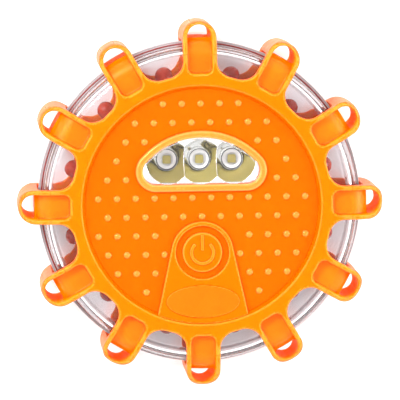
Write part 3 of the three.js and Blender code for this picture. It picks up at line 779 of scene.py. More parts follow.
def bumper_distance(x, y, z):
    """Two rings joined by looped lugs, with a thin skin between each loop and the housing."""
    along, across = lug_axes(x, y)
    radius = np.hypot(x, y)
    half = LUG_WIDTH / 2
    tip = OVERALL_RADIUS - half
    past_tip = np.maximum(along - tip, 0)
    lug = np.hypot(past_tip, across) - half
    outline = round_join(radius - WEB_RADIUS, lug, WEB_FILLET)
    envelope = disc_with_round_edge(x, y, z, OVERALL_RADIUS, MIDDLE, LUG_ROUNDING)
    solid = round_cut(outline, envelope, SOFT_EDGE)

    slot_half = half - LUG_WALL
    reach = OVERALL_RADIUS
    start = rounded_box(along - LOOP_START - reach, across, reach, slot_half, LOOP_CORNER)
    slot = np.maximum(start, np.hypot(past_tip, across) - slot_half)
    body = body_distance(x, y, z)
    solid = round_cut(solid, round_join(-slot, body - GAP - SKIN, 0.45), SOFT_EDGE)

    solid = round_cut(solid, face_edge(z) - radius, 0.5)
    channel = np.maximum(slab(y, *CHANNEL), z - BODY_BOTTOM + GAP + SKIN)
    channel = np.maximum(channel, np.abs(x) - slot_half)
    solid = round_cut(solid, -channel, 0.3)
    return round_cut(solid, GAP - body, 0.2)


BUMPER_CELL = 0.56
BUMPER_STEPS = 42                   # from one lug to the next


def bumper_heights():
    """Layers that are fine at both faces and coarse half way, where the walls run straight."""
    finest, growth = 0.3, 0.07
    depths = [-3 * finest]
    while depths[-1] < MIDDLE - finest:
        depths.append(depths[-1] + COARSE * (finest + growth * max(depths[-1], 0)))
    depths = np.array(depths) * MIDDLE / depths[-1]
    return np.concatenate([depths[:-1], THICKNESS - depths[::-1]])


def make_bumper():
    radii = even_steps(FACE_RADIUS - 1, OVERALL_RADIUS + 1, BUMPER_CELL * COARSE)
    piece = round_net("bumper", bumper_distance, radii, bumper_heights(), LUG_COUNT * BUMPER_STEPS)
    paint(piece.data, bumper_regions(piece.data))
    finish(piece, "housing", [bumper_rubber, loop_rubber, skin_rubber, side_rubber],
           "rubber_bumper")


def bumper_regions(mesh):
    """0 for the outer faces, 1 for the walls inside the loops, 2 for the skins, 3 for the sides. 1 to 3
    get lighter or darker copies of the one rubber: painted light and shade.
    """
    x, y, z = face_middles(mesh)
    outward = face_values(mesh, "normal")[:, 2] * np.sign(z - MIDDLE)
    along, across = lug_axes(x, y)
    from_tip = np.hypot(np.maximum(along - OVERALL_RADIUS + LUG_WIDTH / 2, 0), across)
    in_loop = (along > WEB_RADIUS) & (from_tip < LUG_WIDTH / 2 - LUG_WALL + GAP)
    upright = np.abs(outward) < 0.5
    below_faces = np.abs(z - MIDDLE) < MIDDLE - 1
    skin = in_loop & (outward > 0.35) & below_faces
    return np.select([skin, in_loop & upright, upright], [2, 1, 3], 0)


# ---------------- front panel

def panel_distance(x, y, z):
    """The front sheet with its raised pad, bezel and badge, the window and the button's hole."""
    radius = np.hypot(x, y)
    rim = radius - FACE_RADIUS - TUCK
    sheet = round_cut(rim, slab(z, PANEL_BOTTOM, PANEL_TOP), 0.2)
    pad_edge = np.maximum(pad_distance(x, y), radius - face_edge(z) - TUCK)
    pad = round_cut(pad_edge, slab(z, PANEL_BOTTOM, RAISED_TOP), 0.45)
    bezel = round_cut(torch_distance(x, y), slab(z, PANEL_BOTTOM, RAISED_TOP), 0.7)
    badge = round_cut(ellipse_distance(x, y - BADGE_Y, *BADGE_HALF),
                      slab(z, PANEL_TOP, RAISED_TOP + BADGE_HEIGHT), 0.12)
    solid = round_join(sheet, np.minimum(pad, bezel), 0.35)
    solid = round_join(solid, badge, 0.15)
    from_button = round_hole(x, y, (0, BUTTON_Y), 0)
    window = torch_distance(x, y) + BEZEL_WIDTH
    groove = np.maximum(from_button - GROOVE_RADIUS, GROOVE_BOTTOM - z)
    under = np.maximum(from_button - FLANGE_RADIUS - 0.4, z - GROOVE_BOTTOM + 0.4)
    solid = round_cut(solid, -window, 0.6)
    solid = round_cut(solid, -groove, 0.4)
    shaft = from_button - BUTTON_RADIUS - HAIR
    return round_cut(solid, -np.minimum(shaft, under), 0.12)


def dot_places():
    """Middles of the dots: rows that are offset by turns, clear of the torch and the pad."""
    places = []
    reach = math.ceil(PANEL_RADIUS / DOT_PITCH)
    for row in range(-reach, reach + 1):
        for column in range(-reach, reach + 1):
            stagger = 0.5 if row % 2 == 0 else 0
            x = (column + stagger) * DOT_PITCH
            y = DOT_FIRST_ROW + row * DOT_PITCH
            inside = math.hypot(x, y) < DOT_LIMIT
            if inside and torch_distance(x, y) > DOT_CLEARANCE and pad_distance(x, y) > DOT_CLEARANCE:
                places.append((x, y))
    return places


def dot_mesh():
    """A domed dot whose foot sweeps into the panel."""
    foot, rise = -0.3, 0.18
    flank = arc((DOT_RADIUS + 0.2, rise), 0.2, -100, -180, 4)
    dome = [(DOT_RADIUS * math.cos(a), rise + (DOT_HEIGHT - rise) * math.sin(a))
            for a in np.radians(np.linspace(0, 90, 8))][1:-1]
    return revolved("dot", [(DOT_RADIUS + 0.16, foot), *flank, *dome, (0, DOT_HEIGHT), (0, foot)], 24)


def make_panel():
    reach = FACE_RIM + TUCK
    low = (-reach, -reach, PANEL_BOTTOM)
    high = (reach, reach, RAISED_TOP + BADGE_HEIGHT)
    piece = net("panel", panel_distance, low, high, 0.32)
    paint(piece.data, panel_regions(piece.data))
    dot = dot_mesh()
    dots = []
    for x, y in dot_places():
        copy = bpy.data.objects.new("dot", dot.data.copy())
        bpy.context.collection.objects.link(copy)
        dots.append(coloured(moved(copy, shifted(x, y, PANEL_TOP)), raised_rubber))
    bpy.data.objects.remove(dot)
    finish(piece, "housing", [panel_rubber, pad_rubber, raised_rubber, badge_rubber],
           "front_panel")
    join(piece, dots)


def panel_regions(mesh):
    """0 for the sheet, 1 for the pad, 2 for the bezel, 3 for the badge; the raised ones get lighter
    copies of the sheet's rubber, painted light.
    """
    x, y, z = face_middles(mesh)
    raised = z >= PANEL_TOP + 0.2
    bezel = torch_distance(x, y) < 0.1
    badge = ellipse_distance(x, y - BADGE_Y, *BADGE_HALF) < 0
    return np.select([raised & bezel, raised & badge, raised], [2, 3, 1], 0)


# ---------------- power button

def button_distance(x, y, z):
    """A crowned cap on a thin flange, with a raised power symbol: a broken ring and a bar."""
    y = y - BUTTON_Y
    radius = np.hypot(x, y)
    middle, rim = CROWN
    crown = BUTTON_TOP + middle + (rim - middle) * (radius / BUTTON_RADIUS) ** 2
    cap = round_cut(radius - BUTTON_RADIUS, slab(z, FLANGE_BOTTOM, crown), 0.55)
    flange = slab(z, FLANGE_BOTTOM, FLANGE_BOTTOM + FLANGE_THICKNESS)
    flange = round_cut(radius - FLANGE_RADIUS, flange, 0.12)
    ring = np.abs(radius - SYMBOL_RING) - SYMBOL_STROKE / 2
    opening = np.abs(np.arctan2(x, y)) - SYMBOL_GAP
    ring = round_cut(ring, -opening * SYMBOL_RING, 0.3)
    foot, top = SYMBOL_BAR
    bar = rounded_box(x, y - (foot + top) / 2, SYMBOL_STROKE / 2, (top - foot) / 2, 0.3)
    rise = slab(z, BUTTON_TOP - 0.5, BUTTON_TOP + SYMBOL_HEIGHT)
    symbol = round_cut(np.minimum(ring, bar), rise, 0.15)
    return round_join(round_join(cap, flange, 0.2), symbol, 0.12)


def make_button():
    low = (-FLANGE_RADIUS, BUTTON_Y - FLANGE_RADIUS, FLANGE_BOTTOM)
    high = (FLANGE_RADIUS, BUTTON_Y + FLANGE_RADIUS, BUTTON_TOP + SYMBOL_HEIGHT)
    piece = net("button_cap", button_distance, low, high, 0.13)
    _, _, height = face_middles(piece.data)
    # Painted light: the raised symbol gets a lighter copy of the button's rubber.
    paint(piece.data, height > BUTTON_TOP + SYMBOL_HEIGHT / 2)
    finish(piece, "button", [button_rubber, symbol_rubber], "power_button")


# ---------------- torch

LENS_TOP = edge("torch_lens", HIGH, "z")
REFLECTOR_BOTTOM = edge("torch_reflector", LOW, "z")
TORCH_LED_BOTTOM = edge("torch_led_middle", LOW, "z")
REFLECTOR_RIM = 0.4
WELL_FLOOR = 0.75                   # of a white LED's package
TORCH_PLACES = [(side * TORCH_PITCH, TORCH_Y) for side in (-1, 0, 1)]


def lens_distance(x, y, z):
    """A flat plate that fills the window."""
    outline = torch_distance(x, y) + BEZEL_WIDTH + GAP
    return round_cut(outline, slab(z, PANEL_BOTTOM, LENS_TOP), 0.15)


def bowl_length():
    """Focal length of the bowl whose rim is level with the housing's top."""
    rise = BODY_TOP - BOWL_FOCUS
    return (math.hypot(rise, BOWL_RIM) - rise) / 2


def reflector_distance(x, y, z):
    """A block with three parabolic bowls that overlap at their rims."""
    focal = bowl_length()
    outline = torch_distance(x, y) + BEZEL_WIDTH / 2
    solid = round_cut(outline, slab(z, REFLECTOR_BOTTOM, BODY_TOP), 0.15)
    hollow = np.full(np.broadcast(x, y, z).shape, 1e3)
    for place in TORCH_PLACES:
        out = round_hole(x, y, place, 0)
        bowl = BOWL_FOCUS - focal + out ** 2 / (4 * focal) - z
        bowl = bowl / np.hypot(1, out / (2 * focal))
        hollow = np.minimum(hollow, np.minimum(bowl, out - BOWL_THROAT))
    hollow = np.maximum(hollow, outline + REFLECTOR_RIM)
    return round_cut(solid, -hollow, 0.1)


def make_torch():
    lens = boxed("lens", lens_distance, "torch_lens", 0.4)
    finish(lens, "housing", [lens_plastic], "torch_lens")
    reflector = boxed("reflector", reflector_distance, "torch_reflector", 0.22)
    finish(reflector, "housing", [chrome], "torch_reflector")
    for (x, y), side in zip(TORCH_PLACES, ("left", "middle", "right")):
        led = torch_led("torch_led_lamp_" + side)
        led.location = (x * MM, y * MM, TORCH_LED_BOTTOM * MM)
        finish(led, "housing", [], "torch_led_" + side)


def torch_led(name):
    """A white package with a domed lens over a square yellow chip."""
    wall, height, well = 2.8, 1, 1.9
    package = revolved("package", [
        (0, 0), (wall - 0.05, 0), (wall, 0.06), (wall, height - 0.1), (wall - 0.06, height),
        (well + 0.05, height), (well, height - 0.05), (well - 0.05, WELL_FLOOR), (0, WELL_FLOOR)], 64)
    foot_edge = wall + 0.25
    foot = revolved("foot", [
        (wall - 0.1, 0.05), (foot_edge - 0.03, 0.05), (foot_edge, 0.1), (foot_edge, 0.4),
        (wall - 0.1, 0.45)], 64)
    chip = net("chip", chip_distance, (-0.8, -0.8, 0.8), (0.8, 0.8, 1.0), 0.08)
    bulge, radius = 1.05, 1.65
    lens = revolved("dome", [
        (0, WELL_FLOOR + 0.03), (1.7, WELL_FLOOR + 0.03), (1.7, height - 0.05),
        *arc((0, bulge), radius, -3, 90, 16)[:-1], (0, bulge + radius)], 48)
    lens.name = name
    inside = [coloured(package, white_ceramic), coloured(foot, black_plastic), coloured(chip, phosphor)]
    return join(coloured(lens, led_epoxy), inside)


def chip_distance(x, y, z):
    half, bottom, top = 0.78, WELL_FLOOR + 0.07, 0.98
    return round_cut(rounded_box(x, y, half, half, 0.12), slab(z, bottom, top), 0.05)


# ---------------- clear housing

SEAM_GAP = 0.04
TONGUE = 2                          # how far the front half reaches into the rear half
TONGUE_EDGE = 0.3


def carved(piece, tool, operation):
    """The piece joined with or cut by a tool, which is used up."""
    step = piece.modifiers.new("carve", "BOOLEAN")
    step.operation = operation
    step.solver = "MANIFOLD"
    step.object = tool
    shaped(piece, step)
    piece.data.materials.clear()
    piece.data.set_sharp_from_angle(angle=SHARP)
    bpy.data.objects.remove(tool)
    return piece


def post(place, radius, bottom, top, sides=32):
    """An upright round rod."""
    piece = revolved("post", [(0, bottom), (radius, bottom), (radius, top), (0, top)], sides)
    return moved(piece, shifted(*place))


def prism(outline, bottom, top):
    """A straight block over an outline given as (x, y) points, anticlockwise."""
    count = len(outline)
    points = [(x, y, z) for z in (bottom, top) for x, y in outline]
    sides = [(i, (i + 1) % count, (i + 1) % count + count, i + count) for i in range(count)]
    faces = [tuple(reversed(range(count))), tuple(range(count, 2 * count)), *sides]
    return to_object("prism", points, faces)


def torch_outline(inset):
    """Points so many millimetres inside the edge of torch_distance, anticlockwise."""
    end_x, end_y = TORCH_END
    arch_radius, arch_y = torch_arch()
    touch = math.degrees(math.atan2(end_y - arch_y, end_x))
    return [
        *arc((end_x, end_y), TORCH_END_RADIUS - inset, -90, touch, 12),
        *arc((0, arch_y), arch_radius - inset, touch, 180 - touch, 24)[1:-1],
        *arc((-end_x, end_y), TORCH_END_RADIUS - inset, 180 - touch, 270, 12),
    ]


def housing_cup(name, side, radius, foot):
    """One half of the housing, whose wall ends on the inside at foot's points.

    side is 1 for the front half and -1 for the back.
    """
    corner = (radius - SHOULDER, BODY_HALF - SHOULDER)
    profile = [
        (0, BODY_HALF - WALL),
        *arc(corner, SHOULDER - WALL, 90, 0, 8),
        *foot,
        (radius - 0.1, SEAM_GAP),
        (radius, SEAM_GAP + 0.1),
        *arc(corner, SHOULDER, 0, 90, 14),
        (0, BODY_HALF),
    ]
    return revolved(name, [(r, MIDDLE + side * h) for r, h in profile[::side]], 240)


def make_housings():
    """Two clear cups with screw posts. The front one's tongue reaches into the back one."""
    inner, outer = FRONT_RADIUS - WALL, BODY_RADIUS - WALL - GAP
    tongue = [(inner, TONGUE_EDGE - TONGUE), (inner + 0.2, -TONGUE), (outer - 0.2, -TONGUE),
              (outer, TONGUE_EDGE - TONGUE), (outer, SEAM_GAP)]
    front = housing_cup("clear_front", 1, FRONT_RADIUS, tongue)
    bore_top = HOUSING_SCREW["seat"] + HOUSING_SCREW["length"] + 2
    for place in HOUSING_SCREWS:
        carved(front, post(place, HOUSING_POST, MIDDLE + SEAM_GAP, BODY_TOP - WALL / 2), "UNION")
        carved(front, post(place, SCREW_BORE, 0, bore_top, 24), "DIFFERENCE")
    carved(front, prism(torch_outline(BEZEL_WIDTH / 2 - GAP), MIDDLE, THICKNESS), "DIFFERENCE")
    carved(front, post((0, BUTTON_Y), PLUNGER_BORE, MIDDLE, THICKNESS), "DIFFERENCE")
    finish(front, "housing", [clear, weld], "front_housing")

    back = housing_cup("clear_back", -1, BODY_RADIUS, [(BODY_RADIUS - WALL, SEAM_GAP)])
    for place in HOUSING_SCREWS:
        carved(back, post(place, HOUSING_POST, BODY_BOTTOM + WALL / 2, MIDDLE - SEAM_GAP), "UNION")
        carved(back, post(place, SCREW_BORE, 0, THICKNESS, 24), "DIFFERENCE")
        carved(back, post(place, HOUSING_SCREW["head"] + GAP, 0, HEAD_RECESS), "DIFFERENCE")
    for place in DOOR_SCREWS:
        carved(back, post(place, DOOR_POST, BODY_BOTTOM + WALL / 2, DOOR_POST_TOP), "UNION")
        carved(back, post(place, SCREW_BORE, 0, DOOR_POST_TOP - 1, 24), "DIFFERENCE")
    carved(back, prism(rectangle(*TRAY_HALF), 0, BODY_BOTTOM + 2 * WALL), "DIFFERENCE")
    finish(back, "housing", [clear, weld], "rear_housing")
    for half in (front, back):
        x, y, z = face_middles(half.data)
        paint(half.data, (np.abs(z - MIDDLE) < 0.3) & (np.hypot(x, y) > FRONT_RADIUS - WALL))


def make_seal():
    """The seal lies on the ledge of the rear half, round the foot of the front half."""
    start, bead = FRONT_RADIUS + 0.24, 0.21
    middle = (start + bead, edge("housing_seal", LOW, "z") + bead)
    seal = revolved("seam_seal", arc(middle, bead, 0, 360, 12)[:-1], 240)
    finish(seal, "housing", [seal_silicone], "housing_seal")


# ---------------- side LEDs

def side_led(name):
    """A tinted 5 mm LED along Z, with the cup and the peg of its lead frame inside."""
    brim = LED_RADIUS + 0.4
    dome = arc((0, LED_LENGTH - LED_RADIUS), LED_RADIUS, 0, 90, 14)[:-1]
    body = revolved(name, [
        (0, 0), (brim - 0.1, 0), (brim, 0.1), (brim, 0.9), (brim - 0.1, 1), (LED_RADIUS, 1),
        *dome, (0, LED_LENGTH)], 40)
    foot, top = 0.4, 3.6
    cup = revolved("cup", [
        (0.3, foot), (0.9, top - 1), (1.0, top), (0.85, top), (0.45, top - 0.4), (0, top - 0.4),
        (0, foot)], 20)
    peg = revolved("peg", [(0, foot), (0.3, foot), (0.3, top - 0.2), (0, top - 0.1)], 12)
    frame_parts = [coloured(cup, steel), coloured(moved(peg, shifted(1.4)), steel)]
    return join(coloured(body, red_epoxy), frame_parts)


def make_side_leds():
    first = side_led("side_lamp")
    outward = shifted(SIDE_LED_START, 0, SIDE_LED_Z) @ Matrix.Rotation(math.pi / 2, 4, "Y")
    for i, angle in enumerate(WINDOW_ANGLES, 1):
        matrix = Matrix.Rotation(angle, 4, "Z") @ outward
        placed(first, f"side_lamp_{i:02d}", matrix, f"side_led_{i:02d}")
    bpy.data.objects.remove(first)


# ---------------- back: door, hook, magnet

def hook_plan(x, y):
    """Outlines of the folded hook's round eye and of its arm, which ends at the pivot."""
    pivot_y, _ = HOOK_PIVOT
    eye = np.hypot(x, y - pivot_y + HOOK_REACH) - HOOK_EYE[1]
    arm = rounded_box(x, y - pivot_y + HOOK_REACH / 2, HOOK_ARM / 2, HOOK_REACH / 2, 0.2)
    return eye, arm


def hook_distance(x, y, z):
    """The folded hook: a flat arm and an eye open to one side, on a barrel round the pin."""
    pivot_y, pivot_z = HOOK_PIVOT
    eye_y = pivot_y - HOOK_REACH
    eye, arm = hook_plan(x, y)
    outline = round_join(eye, arm, 1.5)
    hole = HOOK_EYE[0] - np.hypot(x, y - eye_y)
    mouth_y, mouth_width = HOOK_MOUTH
    mouth = np.maximum(np.abs(y - eye_y - mouth_y) - mouth_width / 2, -x)
    outline = round_cut(round_cut(outline, hole, 0.1), -mouth, 0.6)
    half = HOOK_THICKNESS / 2
    plate = round_cut(outline, slab(z, pivot_z - half, pivot_z + half), 0.3)
    groove = rounded_box(x, y - pivot_y - HOOK_GROOVE_Y, *HOOK_GROOVE, 0.85)
    groove = np.maximum(groove, pivot_z + half - HOOK_GROOVE_DEPTH - z)
    plate = round_cut(plate, -groove, 0.2)
    from_pivot = np.hypot(y - pivot_y, z - pivot_z)
    barrel = round_cut(from_pivot - HOOK_BARREL, np.abs(x) - HOOK_ARM / 2, 0.25)
    solid = round_join(plate, barrel, 0.5)
    return round_cut(solid, PIN_RADIUS + 0.08 - from_pivot, 0.06)


def hook_pocket(x, y, z):
    """The hollow that the folded hook lies in, with a way out past the edge and the finger's dip."""
    pivot_y, pivot_z = HOOK_PIVOT
    dip_x, dip_y = FINGER_DIP
    beside_arm = np.abs(x) - HOOK_ARM / 2 - GAP
    plan = np.minimum(*hook_plan(x, y)) - GAP
    lying = np.maximum(plan, z - pivot_z - HOOK_THICKNESS / 2 - GAP)
    barrel = np.maximum(np.maximum(beside_arm, np.abs(y - pivot_y) - 1.6), z - BARREL_POCKET_TOP)
    way_out = np.maximum(np.maximum(beside_arm, pivot_y - 2 - y), z - WAY_OUT_TOP)
    finger = ellipse_distance(x - dip_x, y - pivot_y + HOOK_REACH - dip_y, *FINGER_DIP_HALF)
    finger = np.maximum(finger, z - FINGER_DIP_TOP)
    return np.minimum(np.minimum(lying, barrel), np.minimum(way_out, finger))


def from_door_seal(x, y):
    """Distance from the middle line of the door's seal, which runs round the battery bay."""
    half_x, half_y = TRAY_HALF
    out = DOOR_SEAL_OUT
    return np.abs(rounded_box(x, y, half_x + out, half_y + out, DOOR_SEAL_CORNER))


def door_distance(x, y, z):
    """The back cover, with pockets for the folded hook, the magnet, the screws and the seal."""
    pivot_y, pivot_z = HOOK_PIVOT
    radius = np.hypot(x, y)
    solid = round_cut(radius - PANEL_RADIUS, slab(z, DOOR_BOTTOM, DOOR_TOP), 0.5)
    ring = np.abs(radius - DOOR_RING) - 0.4
    solid = round_cut(solid, -np.maximum(ring, z - DOOR_BOTTOM - 0.35), 0.25)
    solid = round_cut(solid, -hook_pocket(x, y, z), 0.3)
    magnet = np.maximum(round_hole(x, y, (0, MAGNET_Y), MAGNET_RADIUS + GAP), z - MAGNET_TOP - GAP)
    solid = round_cut(solid, -magnet, 0.25)
    for place in DOOR_SCREWS:
        from_screw = round_hole(x, y, place, 0)
        seat = np.maximum(from_screw - DOOR_SCREW["head"] - GAP, z - DOOR_SEAT_TOP)
        lip = np.maximum(np.abs(from_screw - DOOR_LIP_RADIUS) - 0.35, slab(z, DOOR_BOTTOM - 0.2, 2))
        solid = round_join(solid, lip, 0.2)
        solid = round_cut(solid, -np.minimum(seat, from_screw - SCREW_BORE - GAP), 0.2)
    groove = np.maximum(from_door_seal(x, y) - 0.8, DOOR_TOP - 0.5 - z)
    solid = round_cut(solid, -groove, 0.1)
    pin = np.hypot(y - pivot_y, z - pivot_z) - PIN_RADIUS - 0.15
    return round_cut(solid, -np.maximum(pin, np.abs(x) - PIN_END - GAP), 0.05)


def seal_distance(x, y, z):
    """A flat band with a bead along its middle."""
    low, high = edge("door_seal", LOW, "z"), edge("door_seal", HIGH, "z")
    band = round_cut(from_door_seal(x, y) - 0.6, slab(z, low, high - 0.15), 0.12)
    bead = round_cut(from_door_seal(x, y) - 0.2, slab(z, low, high), 0.15)
    return round_join(band, bead, 0.1)


def make_back():
    """The battery door with its seal, the hook on its pin, and the magnet."""
    door = boxed("back_door", door_distance, "battery_door", 0.3)
    finish(door, "housing", [door_plastic], "battery_door")
    seal = boxed("door_gasket", seal_distance, "door_seal", 0.2)
    finish(seal, "housing", [seal_silicone], "door_seal")
    hook = boxed("swing_hook", hook_distance, "hanging_hook", 0.17)
    finish(hook, "hook", [brushed_steel], "hanging_hook")

    chamfer = 0.15
    pin = revolved("hinge_pin", [
        (0, -PIN_END), (PIN_RADIUS - chamfer, -PIN_END), (PIN_RADIUS, chamfer - PIN_END),
        (PIN_RADIUS, PIN_END - chamfer), (PIN_RADIUS - chamfer, PIN_END), (0, PIN_END)], 24)
    moved(pin, shifted(0, *HOOK_PIVOT) @ Matrix.Rotation(math.pi / 2, 4, "Y"))
    finish(pin, "housing", [steel], "hook_pin")

    corner = 0.35
    centre = MAGNET_RADIUS - corner
    magnet = revolved("round_magnet", [
        (0, DOOR_BOTTOM), (centre - 0.15, DOOR_BOTTOM),
        *arc((centre, DOOR_BOTTOM + corner), corner, -70, 0, 4),
        *arc((centre, MAGNET_TOP - corner), corner, 0, 90, 4), (0, MAGNET_TOP)], 120)
    finish(moved(magnet, shifted(0, MAGNET_Y)), "housing", [nickel], "magnet")


def screw_distance(head, height, length):
    """A cross-head screw that points up, the outer face of its head on the origin."""
    def distance(x, y, z):
        radius = np.hypot(x, y)
        crown = slab(z, 0.18 * (radius / head) ** 2, height)
        solid = round_cut(radius - head, crown, 0.3)
        turn = np.arctan2(y, x) / (2 * math.pi)
        ridge = 1 - 3 * np.abs((z / THREAD_PITCH - turn) % 1 - 0.5)
        shank = radius - 0.75 - 0.3 * np.clip(ridge, 0, 1)
        point = radius - 0.1 - (length - z)
        shank = np.maximum(np.maximum(shank, point), slab(z, height / 2, length)) * 0.7
        solid = round_join(solid, shank, 0.2)
        reach, half_width = 0.62 * head - 0.25 * z, 0.3
        along_x = rounded_box(x, y, reach, half_width, 0.1)
        along_y = rounded_box(x, y, half_width, reach, 0.1)
        recess = np.maximum(np.minimum(along_x, along_y), z - 0.7 * height)
        return round_cut(solid, -recess, 0.08)
    return distance


def make_screws(name, node, screw, places):
    """Copies of one screw at the places given, one for each CAD node."""
    head, length = screw["head"], screw["length"]
    distance = screw_distance(head, screw["height"], length)
    first = coloured(net("screw", distance, (-head, -head, 0), (head, head, length), 0.14), steel)
    for i, (x, y) in enumerate(places, 1):
        placed(first, f"{name}_{i}", shifted(x, y, screw["seat"]), f"{node}_{i}")
    bpy.data.objects.remove(first)


# ---------------- board and switch

LEAD_BORE = 0.9
LED_PAD_RADIUS = 28.6               # how far out the side LEDs' legs are soldered
LED_PAD_ANGLE = 0.045               # radians from an LED's middle to each leg's pad
CHIP_LEG_PITCH = 1.27


def soft_block(name, size, place, rounding, made):
    """A block with bevelled edges and the given finish. place is its middle."""
    length, width, height = size
    piece = prism(rectangle(length / 2, width / 2), -height / 2, height / 2)
    piece.name = name
    return coloured(moved(bevelled(piece, rounding), shifted(*place)), made)


def bevel(piece, width):
    step = piece.modifiers.new("bevel", "BEVEL")
    step.width = width * MM
    step.segments = 3
    step.limit_method = "ANGLE"
    return step


def bevelled(piece, width):
    """Rounds the piece's sharp edges for good."""
    step = bevel(piece, width)
    step.harden_normals = True
    return shaped(piece, step)


def ring_pad(place, inner, outer):
    """A tinned ring on the board's top."""
    pad = revolved("pad", [
        (inner, -0.02), (outer, -0.02), (outer - 0.05, 0.06), (inner + 0.1, 0.08)], 24)
    return coloured(moved(pad, shifted(*place, BOARD_TOP)), tin)


def small_part(x, y, upright):
    """A surface-mount resistor, or if upright a capacitor, between its two tinned ends."""
    length, width, height = 1.6, 0.9, 0.55
    turn = Matrix.Rotation(math.pi / 2 if upright else 0, 4, "Z")
    body = black_plastic if upright else white_ceramic
    parts = [soft_block("part", (length, width, height), (0, 0, height / 2), 0.08, body)]
    for side in (-1, 1):
        place = (side * length / 2, 0, height / 2)
        parts.append(soft_block("end", (0.5, width + 0.1, height), place, 0.1, tin))
    return [moved(part, shifted(x, y, BOARD_TOP) @ turn) for part in parts]


def small_part_places():
    """Pairs of parts side by side and four single ones: X, Y and whether each is upright."""
    for x, y, upright in ((-20, -5, False), (-7, -14, True), (9, -11, False), (15, -8, True)):
        for side in (-1, 1):
            yield (x + side, y, True) if upright else (x, y + side, False)
    for x, y, upright in ((-22, 4, True), (22, 2, True), (12, -18, False), (-12, -19, False)):
        yield x, y, upright


def make_board():
    """A round board with holes for the leads, solder pads for the LEDs and small parts."""
    chamfer = 0.08
    rim = BOARD_RADIUS - chamfer
    board = revolved("circuit_board", [
        (0, BOARD_BOTTOM), (rim, BOARD_BOTTOM), (BOARD_RADIUS, BOARD_BOTTOM + chamfer),
        (BOARD_RADIUS, BOARD_TOP - chamfer), (rim, BOARD_TOP), (0, BOARD_TOP)], 160)
    lead_places = [(side * LEAD_X, LEAD_Y) for side in (-1, 1)]
    for place in lead_places:
        carved(board, post(place, LEAD_BORE, 0, THICKNESS, 24), "DIFFERENCE")
    extras = [ring_pad(place, LEAD_BORE, 1.6) for place in lead_places]
    for angle in WINDOW_ANGLES:
        for side in (-1, 1):
            x, y, _ = polar(angle + side * LED_PAD_ANGLE, LED_PAD_RADIUS, 0)
            extras.append(ring_pad((x, y), 0.35, 0.95))
    for place in small_part_places():
        extras += small_part(*place)
    join(coloured(board, white_mask), extras)
    finish(board, "housing", [], "main_board")


def make_chip():
    """The driver chip, with four bent legs on each side."""
    low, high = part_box("driver_chip")
    middle = (low + high) / 2 / MM
    size = (high - low) / MM
    body = (size.x, size.y - 1.4, size.z - 0.2)
    chip = soft_block("led_driver", body, middle, 0.15, black_plastic)
    wide, long, thick = 0.42, 0.9, 0.25
    legs = []
    for side in (-1, 1):
        for i in range(4):
            x = middle.x + (i - 1.5) * CHIP_LEG_PITCH
            y = middle.y + side * (size.y / 2 - 0.45)
            foot, knee = (x, y, BOARD_TOP + 0.13), (x, y - side * 0.35, BOARD_TOP + 0.5)
            legs.append(soft_block("leg", (wide, long, thick), foot, 0.06, tin))
            legs.append(soft_block("leg", (wide, thick, long), knee, 0.06, tin))
    join(chip, legs)
    finish(chip, "housing", [], "driver_chip")


def make_switch():
    """A 6 mm tact switch: a base under a steel plate, a round knob, four pegs and four legs."""
    low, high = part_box("tact_switch")
    y = (low.y + high.y) / 2 / MM
    bottom, top = low.z / MM, high.z / MM
    base_height, plate_height = 2.7, 0.3
    base_place = (0, y, bottom + base_height / 2)
    base = soft_block("push_switch", (6, 6, base_height), base_place, 0.15, black_plastic)
    plate_place = (0, y, bottom + base_height + plate_height / 2)
    parts = [soft_block("plate", (5.9, 5.9, plate_height), plate_place, 0.1, steel)]
    inside_plate = bottom + base_height + 0.2
    knob = post((0, y), 1.7, inside_plate, top, 40)
    parts.append(bevelled(coloured(knob, black_plastic), 0.15))
    for side_x, side_y in rectangle(1, 1):
        peg = post((side_x * 2.3, y + side_y * 2.3), 0.45, inside_plate, inside_plate + 0.22, 20)
        leg_place = (side_x * 2.2, y + side_y * 3.2, bottom + 0.12)
        parts.append(coloured(peg, black_plastic))
        parts.append(soft_block("leg", (0.7, 0.9, 0.2), leg_place, 0.05, tin))
    join(base, parts)
    finish(base, "housing", [], "tact_switch")


def make_plunger():
    """The button's stem, with a shallow neck and rounded ends."""
    foot, head = edge("button_plunger", LOW, "z"), edge("button_plunger", HIGH, "z")
    radius = edge("button_plunger", HIGH, "x")
    neck, neck_low, neck_high = radius - 0.25, 27.3, 28.5
    stem = revolved("plunger", [
        (0, foot), *arc((radius - 0.4, foot + 0.4), 0.4, -90, 0, 5),
        (radius, neck_low - 0.3), (neck, neck_low), (neck, neck_high), (radius, neck_high + 0.3),
        *arc((radius - 0.2, head - 0.2), 0.2, 0, 90, 4), (0, head)], 48)
    moved(stem, shifted(0, BUTTON_Y))
    finish(stem, "button", [grey_plastic], "button_plunger")


# ---------------- battery bay

SLANT = (0.31, 0.17, 0.93)          # a direction that no rod runs along


def tube(name, stops, radius, sides):
    """A round rod whose middle line runs through the stops."""
    stops = np.array(stops, dtype=float)
    ahead = np.gradient(stops, axis=0)
    ahead /= np.linalg.norm(ahead, axis=1, keepdims=True)
    side = np.cross(ahead, SLANT)
    side /= np.linalg.norm(side, axis=1, keepdims=True)
    over = np.cross(ahead, side)
    turns = np.arange(sides) * 2 * math.pi / sides
    rings = (stops[:, None] + radius * np.cos(turns)[None, :, None] * side[:, None]
             + radius * np.sin(turns)[None, :, None] * over[:, None])
    count = len(stops)
    faces = []
    for start in range(0, (count - 1) * sides, sides):
        for i in range(sides):
            j = (i + 1) % sides
            faces.append((start + i, start + j, start + sides + j, start + sides + i))
    faces.append(tuple(reversed(range(sides))))
    faces.append(tuple(range((count - 1) * sides, count * sides)))
    return to_object(name, rings.reshape(-1, 3), faces)


